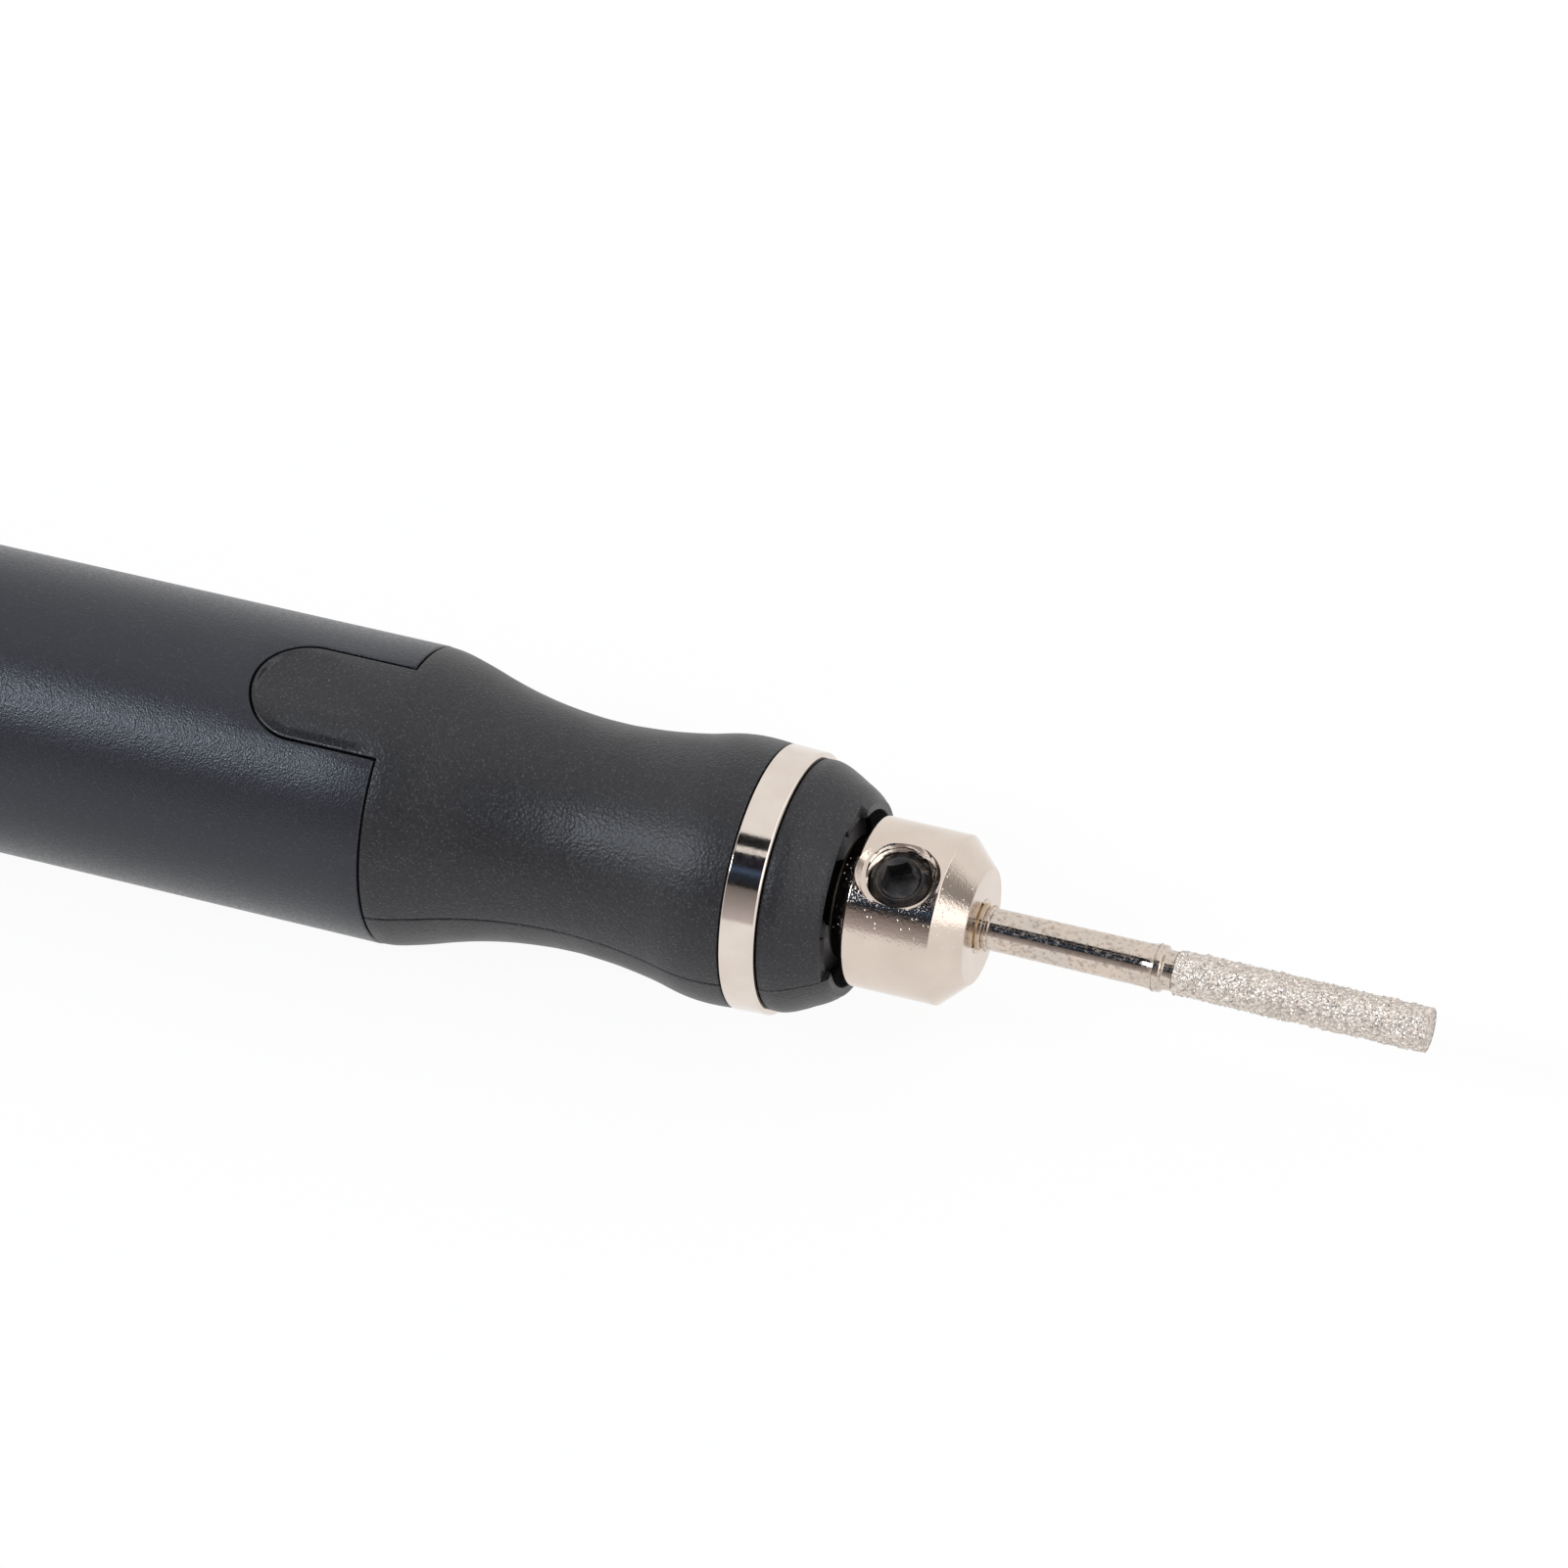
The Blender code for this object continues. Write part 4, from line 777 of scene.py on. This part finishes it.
def threaded(bm, low, high, crest, ends=(0, 0)):
    """Rod with a true helical thread; ends gives the cone at its bottom and its top."""
    count = max(2, round((high - low) / thread_pitch * thread_rows))
    loops = []
    for i in range(count + 1):
        height = low + (high - low) * i / count
        limit = min(crest, crest - ends[0] + height - low, crest - ends[1] + high - height)
        loop = []
        for k in range(thread_columns):
            turn = (height / thread_pitch - k / thread_columns) % 1.0
            groove = max(0.0, min(1.0, groove_width - abs(2 * turn - 1) * groove_slope))
            loop.append(bm.verts.new(on_screw(height, min(limit, crest - thread_depth * groove),
                                              tau * k / thread_columns)))
        loops.append(loop)
    skin(bm, loops)


def cone_cutter(low, high, sides):
    """Cone round the screw's axis between two (height, radius) ends."""
    made = bmesh.new()
    turned(made, [(low[0], 0), low, high, (high[0], 0)], sides, on_screw)
    return made


def carved(bm, *cutters):
    """Cut closed shapes out of a solid and give back the solid that is left."""
    made = []
    for shape in (bm, *cutters):
        bmesh.ops.recalc_face_normals(shape, faces=shape.faces)
        made.append(placed("carving", mesh_of("carving", shape)))
    for cutter in made[1:]:
        step = made[0].modifiers.new("cut", "BOOLEAN")
        step.object = cutter
        step.solver = "EXACT"
    left = bmesh.new()
    left.from_object(made[0], bpy.context.evaluated_depsgraph_get())
    for scrap in made:
        mesh = scrap.data
        bpy.data.objects.remove(scrap)
        bpy.data.meshes.remove(mesh)
    return left


nickel = Finish("chuck_nickel", (0.78, 0.73, 0.67), 0.22, 1.0)
plated = nickel.mix(nickel.share(nickel.grain(2.2, 4.0), 0.35, 0.7), (0.71, 0.61, 0.53),
                    (0.655, 0.56, 0.485))
pinholes = nickel.dots(1.5, (0.025, 0.05), (0.6, 0.62), "Green")
nickel.colour(pinholes, plated, (0.05, 0.04, 0.035))
nickel.polish(nickel.grain(0.5, 4.0), 0.3, 0.75, 0.04, 0.1)
peel = nickel.bump(nickel.grain(0.16, 3.0, 0.65), 0.011)
nickel.bump(nickel.dots(0.24, (0.05, 0.22), (0.55, 0.6)), 0.014, Normal=peel)
bm = bmesh.new()
turned(bm, rounded([(chuck_rear - neck_length, shaft_fit), (chuck_rear - neck_length, chuck_neck),
                    (chuck_rear, chuck_neck), (chuck_rear, chuck_radius),
                    (chuck_front - chuck_cone, chuck_radius), (chuck_front, chuck_face),
                    (chuck_front, bore_mouth), (chuck_front - mouth_depth, bit_bore),
                    (bore_floor, bit_bore), (bore_floor, shaft_fit)],
                   (0, 0.2, 0, 0.12, 0.05, 0.05, 0.04, 0, 0, 0)), fine_sides)
tap = bmesh.new()
threaded(tap, *tap_reach, hole_crest)
piece(carved(bm, tap, cone_cutter(*hole_mouth, thread_columns * 2)), "nickel_chuck", "spindle",
      "nickel", nickel, "drive_coupler")


# Clamp screw. A headless screw in blackened steel with a hex socket in its top, run in through the
# chuck's thread until its point holds the bit.
screw_bottom = 1.27
screw_top = 4.0
screw_crest = 1.99
screw_ends = (0.5, 0.75)
hex_across = 1.9
hex_turn = radians(26)
hex_floor = screw_top - 1.5
hex_point = 0.25
hex_mouth = ((screw_top - 0.25, 1.0), (screw_top + 0.2, 1.36))
cutter_clear = 0.5
black_oxide = Finish("screw_black", (0.03, 0.029, 0.03), 0.34, 0.75)
black_oxide.colour(black_oxide.share(black_oxide.grain(0.9, 4.0), 0.4, 0.7),
                   (0.045, 0.046, 0.052), (0.12, 0.105, 0.092))
black_oxide.polish(black_oxide.grain(0.3, 4.0), 0.3, 0.7, 0.2, 0.36)
black_oxide.bump(black_oxide.grain(0.15, 4.0), 0.006, 0.5)
bm = bmesh.new()
threaded(bm, screw_bottom, screw_top, screw_crest, screw_ends)
hexagon = bmesh.new()
corner = hex_across / 2 / cos(pi / 6)
turned(hexagon, [(hex_floor - hex_point, 0), (hex_floor, corner * 0.9), (hex_floor, corner),
                 (screw_top + cutter_clear, corner), (screw_top + cutter_clear, 0)],
       6, lambda height, radius, angle: on_screw(height, radius, angle + hex_turn))
piece(carved(bm, hexagon, cone_cutter(*hex_mouth, thread_columns)), "clamp_screw", "set_screw",
      "black_oxide", black_oxide, "chuck_screw")


# Bit. A nickel-plated steel shank with a small shoulder, and a head of diamond grit that is held in
# electroplated nickel on the shank's end.
head_low, head_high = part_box("bit_diamond_head")
bit_rear = place_of(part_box("bit_shank")[0].x)
bit_tip = place_of(head_high.x)
head_rear = place_of(head_low.x)
shank_radius = 1.175
shank_lip = 1.275
shank_neck = 1.075
shank_core = 0.9
shank_collar = 1.27
shank_groove = 1.14
collar_place = chuck_front - 0.06
head_core = 1.15
head_bore = 0.95
head_edge = 0.05
end_grit = 0.15
end_rows = 12
grit_size = 0.27
grit_height = 0.13
smallest_stone = 0.25
stone_slope = 2.2
facet_height = 0.03
grit_rows = 260
grit_columns = 150
steel = Finish("shank_plate", (0.72, 0.66, 0.6), 0.16, 1.0)
patch = steel.grain(0.3, 6.0, 0.75)
clean = steel.mix(steel.share(steel.grain(1.3, 3.0), 0.4, 0.6), (0.68, 0.575, 0.49),
                  (0.62, 0.55, 0.49))
stained = steel.mix(steel.share(patch, 0.5, 0.6), clean, (0.43, 0.36, 0.305))
# Heat has tinted the shank in a narrow band at the chuck's mouth
along = steel.axes()["X"]
root = steel.sum("MULTIPLY",
                 steel.share(along, x_at(collar_place - 0.5), x_at(collar_place - 0.3)),
                 steel.share(along, x_at(collar_place), x_at(collar_place + 0.4), 1.0, 0.0))
steel.colour(root, stained, (0.64, 0.52, 0.37))
steel.polish(patch, 0.48, 0.6, 0.06, 0.26)
steel.bump(steel.grain(0.12, 4.0, 0.6), 0.004)
bm = bmesh.new()
lip = head_rear - 0.75
collars = []
for place, length in ((collar_place, 0.34), (collar_place + 0.48, 0.22)):
    collars += [(place, shank_groove), (place + 0.03, shank_collar),
                (place + length, shank_collar), (place + length + 0.04, shank_groove)]
turned(bm, rounded([(bit_rear, 0), (bit_rear, shank_radius)] + collars
                   + [(lip - 0.75, shank_radius), (lip - 0.4, shank_lip), (lip, shank_lip),
                      (lip + 0.15, shank_neck), (head_rear - 0.1, shank_neck),
                      (head_rear - 0.1, shank_core), (bit_tip - 0.6, shank_core),
                      (bit_tip - 0.6, 0)],
                   (0, 0.3) + (0, 0.03, 0.03, 0) * 2 + (0.4, 0.1, 0.08, 0.05, 0, 0, 0, 0)), 96)
piece(bm, "bit_shank_plated", "bit", "bit_steel", steel, "bit_shank")

grit = Finish("grit_nickel", (0.72, 0.68, 0.64), 0.2, 1.0)
stones = grit.cells(0.14)
stone = grit.pick(stones)
grit.colour(stone, (0.54, 0.47, 0.42), (0.85, 0.78, 0.71))
grit.polish(stone, 0.0, 1.0, 0.3, 0.1)
grit.bump(grit.sum("ADD", stones["Distance"], grit.grain(0.1)), 0.042)


def stone_height(place, radius, angle):
    """Height of the grit over its nickel bed at a place, a radius and an angle."""
    point = Vector((place, radius * sin(angle), radius * cos(angle))) / grit_size
    gaps, middles = noise.voronoi(point, distance_metric="DISTANCE_SQUARED")[:2]
    size = smallest_stone + (1 - smallest_stone) * abs(noise.cell(middles[0] * 7.3))
    edge = min(1.0, (sqrt(gaps[1]) - sqrt(gaps[0])) * stone_slope)
    return grit_height * size * edge + facet_height * noise.noise(point * 1.7)


bm = bmesh.new()
angles = [tau * k / grit_columns for k in range(grit_columns)]
rows = [[(place, head_bore, angle) for angle in angles] for place in (bit_tip - 0.5, head_rear)]
for i in range(grit_rows + 1):
    place = head_rear + (bit_tip - 0.06 - head_rear) * i / grit_rows
    core = head_core - (head_edge if i == grit_rows else 0)
    rows.append([(place, core + stone_height(place, head_core, angle), angle)
                 for angle in angles])
for i in range(1, end_rows):
    base = head_core * (1 - i / end_rows)
    rows.append([(bit_tip - end_grit + min(end_grit, stone_height(bit_tip, base, angle)), base,
                  angle) for angle in angles])
skin(bm, [[bm.verts.new(on_pen(*point)) for point in row] for row in rows])
piece(bm, "diamond_grit_head", "bit", "diamond_grit", grit, "bit_diamond_head", sharp=180)


# Motor. A small brushed motor in a drawn steel can, coloured dark, sits in the shells; its front
# shows as a dark floor inside the nose's mouth. Its bushes are sintered bronze, its end cap is
# moulded.
# Radii in millimetres over which the painted highlight on the can's front edge comes in
rim_glint_band = (4.82, 4.87)


def dress(finish, *names):
    """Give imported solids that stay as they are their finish."""
    for name in names:
        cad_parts[name].data.materials[0] = finish.material


can = Finish("dark_faced_can", (0.05, 0.048, 0.046), 0.42, 0.6)
offset = can.node("VectorMath", {0: can.spot, 1: (0.0, 0.0, axis_height)}, operation="SUBTRACT")
flat = can.node("VectorMath", {0: offset.outputs[0], 1: (0.0, 1 / MM, 1 / MM)},
                operation="MULTIPLY")
off_axis = can.node("VectorMath", {0: flat.outputs[0]}, operation="LENGTH").outputs["Value"]
# Painted highlight: a light colour from radius 4.82 mm outward, broken by noise, stands for the
# glint on the can's rounded front edge
painted_rim_glint = can.sum("MULTIPLY", can.share(off_axis, *rim_glint_band),
               can.share(can.grain(0.8), 0.4, 0.6, 0.35, 1.0))
can.colour(painted_rim_glint, (0.055, 0.052, 0.05), (0.75, 0.72, 0.68))
can.polish(can.grain(0.4, 4.0), 0.3, 0.7, 0.3, 0.5)
can.bump(can.grain(0.2, 4.0), 0.006, 0.5)
dress(can, "motor_can")

bronze = Finish("oiled_bronze", (0.03, 0.022, 0.016), 0.55, 0.7)
pores = bronze.cells(0.12)["Distance"]
bronze.colour(pores, (0.035, 0.027, 0.02), (0.015, 0.012, 0.01))
bronze.bump(pores, 0.01, 0.6)
dress(bronze, "motor_front_bush", "motor_rear_bush")

ferrite = Finish("ferrite", (0.05, 0.05, 0.055), 0.65)
ferrite.colour(ferrite.grain(0.4, 5.0), (0.035, 0.035, 0.04), (0.075, 0.073, 0.075))
ferrite.bump(ferrite.grain(0.15, 5.0), 0.012, 0.7)
dress(ferrite, "motor_magnet_upper", "motor_magnet_lower")

ivory = Finish("natural_plastic", (0.74, 0.70, 0.6), 0.42, IOR=1.53)
ivory.colour(ivory.grain(3.0, 3.0), (0.72, 0.68, 0.57), (0.78, 0.75, 0.66))
ivory.polish(ivory.grain(1.0, 3.0), 0.3, 0.7, 0.36, 0.5)
ivory.bump(ivory.grain(0.25, 3.0), 0.008, 0.5)
dress(ivory, "motor_end_cap", "inner_carrier", "switch_plunger")


# Rotor. The ground steel shaft carries a stack of stamped core sheets, three coils of enamelled
# wire and the commutator, which two phosphor-bronze brush springs wipe.
def stripes(finish, pitch, axis="X"):
    """Soft bands of the given pitch in millimetres across an axis."""
    return finish.node("TexWave", {"Vector": finish.spot, "Scale": pi / 10 / (pitch * MM),
                                   "Distortion": 0.0}, bands_direction=axis).outputs["Fac"]


shaft = Finish("ground_steel", (0.6, 0.6, 0.61), 0.22, 1.0)
grinding = stripes(shaft, 0.12)
shaft.polish(grinding, 0.0, 1.0, 0.16, 0.3)
shaft.colour(shaft.grain(1.5), (0.56, 0.56, 0.57), (0.66, 0.65, 0.65))
shaft.bump(shaft.sum("ADD", grinding, shaft.grain(0.1)), 0.001, 0.5)
dress(shaft, "motor_shaft")

sheets = Finish("core_sheets", (0.33, 0.33, 0.35), 0.4, 1.0)
seam = sheets.share(stripes(sheets, 0.5), 0.0, 0.25)
sheets.colour(seam, (0.05, 0.05, 0.055), (0.36, 0.36, 0.38))
sheets.bump(seam, 0.03, 0.8)
dress(sheets, "armature_core")

enamel = Finish("enamelled_wire", (0.5, 0.2, 0.08), 0.25, 0.9, Coat_Weight=0.6)
strands = stripes(enamel, 0.22)
enamel.colour(strands, (0.16, 0.05, 0.02), (0.6, 0.25, 0.1))
enamel.bump(strands, 0.06)
dress(enamel, "armature_winding_1", "armature_winding_2", "armature_winding_3")

copper = Finish("wiped_copper", (0.78, 0.42, 0.27), 0.28, 1.0)
wiped = stripes(copper, 0.09)
copper.colour(copper.grain(0.7, 4.0), (0.62, 0.32, 0.2), (0.84, 0.48, 0.32))
copper.polish(wiped, 0.0, 1.0, 0.2, 0.38)
copper.bump(wiped, 0.002, 0.5)
dress(copper, "commutator", "brush_arm_left", "brush_arm_right")


# Boards. Glass-epoxy boards under green solder mask, one for the switch, the lamp and the motor
# driver and one for the charging port; the first is held to the carrier by two zinc-plated screws.
mask = Finish("solder_mask", (0.02, 0.13, 0.05), 0.35, Coat_Weight=0.4)
tracks = mask.node("TexBrick", {
    "Vector": mask.spot, "Scale": 1.0, "Mortar Size": 0.09 * MM, "Brick Width": 2.3 * MM,
    "Row Height": 0.8 * MM, "Color1": (0.02, 0.12, 0.045, 1.0),
    "Color2": (0.016, 0.10, 0.04, 1.0), "Mortar": (0.05, 0.24, 0.09, 1.0)}).outputs
mask.feed("Base Color", tracks["Color"])
mask.polish(mask.grain(0.6), 0.3, 0.7, 0.28, 0.42)
mask.bump(tracks["Fac"], 0.02, 0.6)
dress(mask, "main_board", "charge_board")

epoxy = Finish("moulded_epoxy", (0.018, 0.018, 0.018), 0.5)
epoxy.colour(epoxy.grain(1.2, 4.0), (0.014, 0.014, 0.015), (0.028, 0.028, 0.029))
epoxy.bump(epoxy.grain(0.09, 3.0), 0.008, 0.7)
dress(epoxy, "driver_chip", "charger_chip", "switch_base")

zinc = Finish("zinc_plate", (0.62, 0.62, 0.64), 0.3, 1.0)
zinc.colour(zinc.grain(1.4, 5.0, 0.6), (0.52, 0.53, 0.56), (0.68, 0.67, 0.66))
zinc.polish(zinc.grain(0.5, 4.0), 0.3, 0.7, 0.22, 0.4)
zinc.bump(zinc.grain(0.15, 4.0), 0.003, 0.5)
dress(zinc, "board_screw_front", "board_screw_rear", "cell_tab_front", "cell_tab_rear")

led = Finish("lamp_lens", (0.86, 0.9, 0.92), 0.2, Transmission_Weight=0.6, IOR=1.5)
led.polish(led.grain(0.3), 0.3, 0.7, 0.12, 0.3)
led.bump(led.grain(0.4), 0.01, 0.4)
dress(led, "status_led")


# Power button. Moulded in the grip's black plastic, round, with a shallow finger dish, a flange
# under the tube that keeps it captive and a stem that reaches the switch.
button_top = (button_high.z - axis_height) / MM
button_foot = (button_low.z - axis_height) / MM
button_radius = 2.9
button_flange = (button_foot + 1.44, button_foot + 2.24, 3.8)
button_stem = 1.5
button_round = 0.35
button_shoulder = 0.7
button_dish = 0.16
dish_reach = 2.2
foot_gap = 0.01


def flanged(foot, stem, flange, head):
    """Outline of an upright pin up to its flange, which is given by its heights and its radius."""
    low, high, radius = flange
    return [(foot + foot_gap, 0), (foot + foot_gap, stem), (low, stem), (low, radius),
            (high, radius), (high, head)]


def upright(place):
    """Point function for pieces turned about a vertical axis at a place along the pen."""
    def point(height, radius, angle):
        return on_pen(place, 0, 0) + Vector((radius * cos(angle), radius * sin(angle),
                                             height)) * MM
    return point


outline = flanged(button_foot, button_stem, button_flange, button_radius)
outline += [(button_top, button_radius), (button_top, button_radius - button_shoulder)]
outline = rounded(outline, (0, 0.1, 0, 0.1, 0.1, 0, button_round, 0.3))
outline += [(button_top - button_dish * (1 - (radius / dish_reach) ** 2), radius)
            for radius in (2.0, 1.7, 1.3, 0.9, 0.45, 0)]
bm = bmesh.new()
turned(bm, outline, 96, upright(button_place))
piece(bm, "dished_button", "button", "black_plastic", plastic, "power_button")


# Light pipe. A clear moulded rod that carries the lamp's light to the tube's surface, polished to a
# low dome on top and flanged under the tube.
pipe_top = (pipe_high.z - axis_height) / MM
pipe_foot = (pipe_low.z - axis_height) / MM
pipe_radius = 1.0
pipe_flange = (6.58, 7.18, 1.6)
pipe_dome = 0.12
clear = Finish("clear_pipe", (0.93, 0.96, 0.98), 0.06, IOR=1.49, Transmission_Weight=0.9)
clear.polish(clear.grain(0.8), 0.35, 0.7, 0.04, 0.14)
clear.bump(clear.grain(0.6), 0.004, 0.4)
outline = flanged(pipe_foot, pipe_radius, pipe_flange, pipe_radius)
outline += [(pipe_top - pipe_dome * (radius / pipe_radius) ** 2, radius)
            for radius in (1.0, 0.96, 0.85, 0.65, 0.4, 0)]
bm = bmesh.new()
turned(bm, outline, 64, upright(pipe_place))
piece(bm, "domed_light_pipe", "housing", "clear_plastic", clear, "light_pipe")


# Cell. A round lithium cell in blue shrink wrap, with nickel tabs welded to its ends, lies in the
# carrier; a strip of closed-cell foam keeps it from rattling against the tube.
shrink = Finish("shrink_wrap", (0.04, 0.15, 0.4), 0.28, Coat_Weight=0.5)
creases = shrink.node("TexNoise", {"Vector": shrink.node("Mapping", {
    "Vector": shrink.spot, "Scale": (0.2, 1.0, 1.0)}).outputs[0], "Scale": 1 / (1.5 * MM),
    "Detail": 3.0}).outputs["Fac"]
shrink.colour(creases, (0.03, 0.12, 0.35), (0.055, 0.18, 0.46))
shrink.polish(creases, 0.3, 0.7, 0.2, 0.38)
shrink.bump(creases, 0.05, 0.6)
dress(shrink, "lithium_cell")

foam = Finish("closed_cell_foam", (0.03, 0.03, 0.03), 0.95)
bubbles = foam.cells(0.35)["Distance"]
foam.colour(bubbles, (0.012, 0.012, 0.012), (0.05, 0.05, 0.05))
foam.bump(bubbles, 0.12)
dress(foam, "cell_foam_pad")


# Charging port. A standard oval receptacle drawn from tinned steel, with a black contact tongue
# whose gilt contacts lie side by side on both faces.
port_low, port_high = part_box("usb_receptacle")
port_mouth = place_of(port_low.x)
port_end = place_of(port_high.x)
port_wide, port_tall = 4.47, 1.6
port_wall = 0.3
port_break = 0.1
contact_pitch = 0.5
contact_half_span = 3.0
contact_end = port_low.x + 3.6 * MM
contact_fade = 0.02 * MM


def oval_run(bm, stations, closed=False, steps=16):
    """Skin a run of flat openings with round ends: (place, half width, half height)."""
    loops = []
    for place, wide, tall in stations:
        loops.append([])
        for side, start in ((1, -pi / 2), (-1, pi / 2)):
            for turn in (start + pi * k / steps for k in range(steps + 1)):
                point = Vector((0, side * (wide - tall) + tall * cos(turn), tall * sin(turn)))
                loops[-1].append(bm.verts.new(on_pen(place, 0, 0) + point * MM))
    skin(bm, loops, closed)


bm = bmesh.new()
oval_run(bm, [(port_mouth + place, port_wide - inset, port_tall - inset) for place, inset in (
    (0, port_break), (port_break * 0.3, port_break * 0.3), (port_break, 0),
    (port_end - port_mouth, 0), (port_end - port_mouth, port_wall), (port_break, port_wall),
    (0, port_wall - port_break))], closed=True)
piece(bm, "port_shell", "housing", "zinc_steel", zinc, "usb_receptacle")

blade = Finish("contact_tongue", (0.02, 0.02, 0.02), 0.4)
axes = blade.axes()
bars = blade.share(stripes(blade, contact_pitch, "Y"), 0.45, 0.5)
for value, end in ((blade.sum("ABSOLUTE", axes["Y"]), contact_half_span * MM),
                   (axes["X"], contact_end)):
    bars = blade.sum("MULTIPLY", bars, blade.share(value, end, end + contact_fade, 1.0, 0.0))
blade.colour(bars, (0.018, 0.018, 0.018), (0.85, 0.6, 0.28))
blade.feed("Metallic", bars)
blade.polish(blade.grain(0.3), 0.3, 0.7, 0.3, 0.45)
blade.bump(bars, 0.02, 0.6)
dress(blade, "usb_contact_tongue")


# Leads. Fine stranded wires in silicone insulation, red and black, from the motor's terminals to
# the main board and along the cell to the charging board.
for shade, low, high in (("red", (0.42, 0.015, 0.012), (0.6, 0.03, 0.02)),
                         ("black", (0.014, 0.014, 0.015), (0.03, 0.03, 0.031))):
    silicone = Finish(shade + "_insulation", high, 0.45)
    silicone.colour(silicone.grain(1.2, 3.0), low, high)
    silicone.polish(silicone.grain(0.4), 0.3, 0.7, 0.38, 0.52)
    silicone.bump(silicone.grain(0.2, 3.0), 0.01, 0.5)
    dress(silicone, "motor_lead_" + shade, "supply_lead_" + shade)


# Tail cap. Black plastic like the grip's, pressed into the tube, with a rounded rim and a
# flared opening round the charging port.
cap_low, cap_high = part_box("tail_cap")
cap_tail = place_of(cap_low.x)
cap_flange = tube_rear - 0.2
cap_plug_end = place_of(cap_high.x)
cap_round = 1.2
cap_break = 0.08
cap_chamfer = 0.2
cap_plug = 7.35
cap_inside = 6.45
cap_floor = cap_tail + 1.9
port_clearance = 0.2
port_flare = 0.25
rim_turns = [pi / 2 * (1 - k / 12) for k in range(13)]
outline = [(cap_tail, 0)]
outline += [(cap_tail + cap_round * (1 - sin(turn)), tube_radius - cap_round * (1 - cos(turn)))
            for turn in rim_turns]
outline += [(cap_flange - cap_break, tube_radius), (cap_flange, tube_radius - cap_break),
            (cap_flange, cap_plug), (cap_plug_end - cap_chamfer, cap_plug),
            (cap_plug_end, cap_plug - cap_chamfer), (cap_plug_end, cap_inside),
            (cap_floor, cap_inside), (cap_floor, 0)]
bm = bmesh.new()
turned(bm, outline, fine_sides)
opening = bmesh.new()
clear_wide, clear_tall = port_wide + port_clearance, port_tall + port_clearance
flare = port_flare + cutter_clear
oval_run(opening, [(cap_tail - cutter_clear, clear_wide + flare, clear_tall + flare),
                   (cap_tail + port_flare, clear_wide, clear_tall),
                   (cap_floor + 2 * cutter_clear, clear_wide, clear_tall)])
piece(carved(bm, opening), "moulded_tail_cap", "housing", "black_plastic", plastic, "tail_cap")
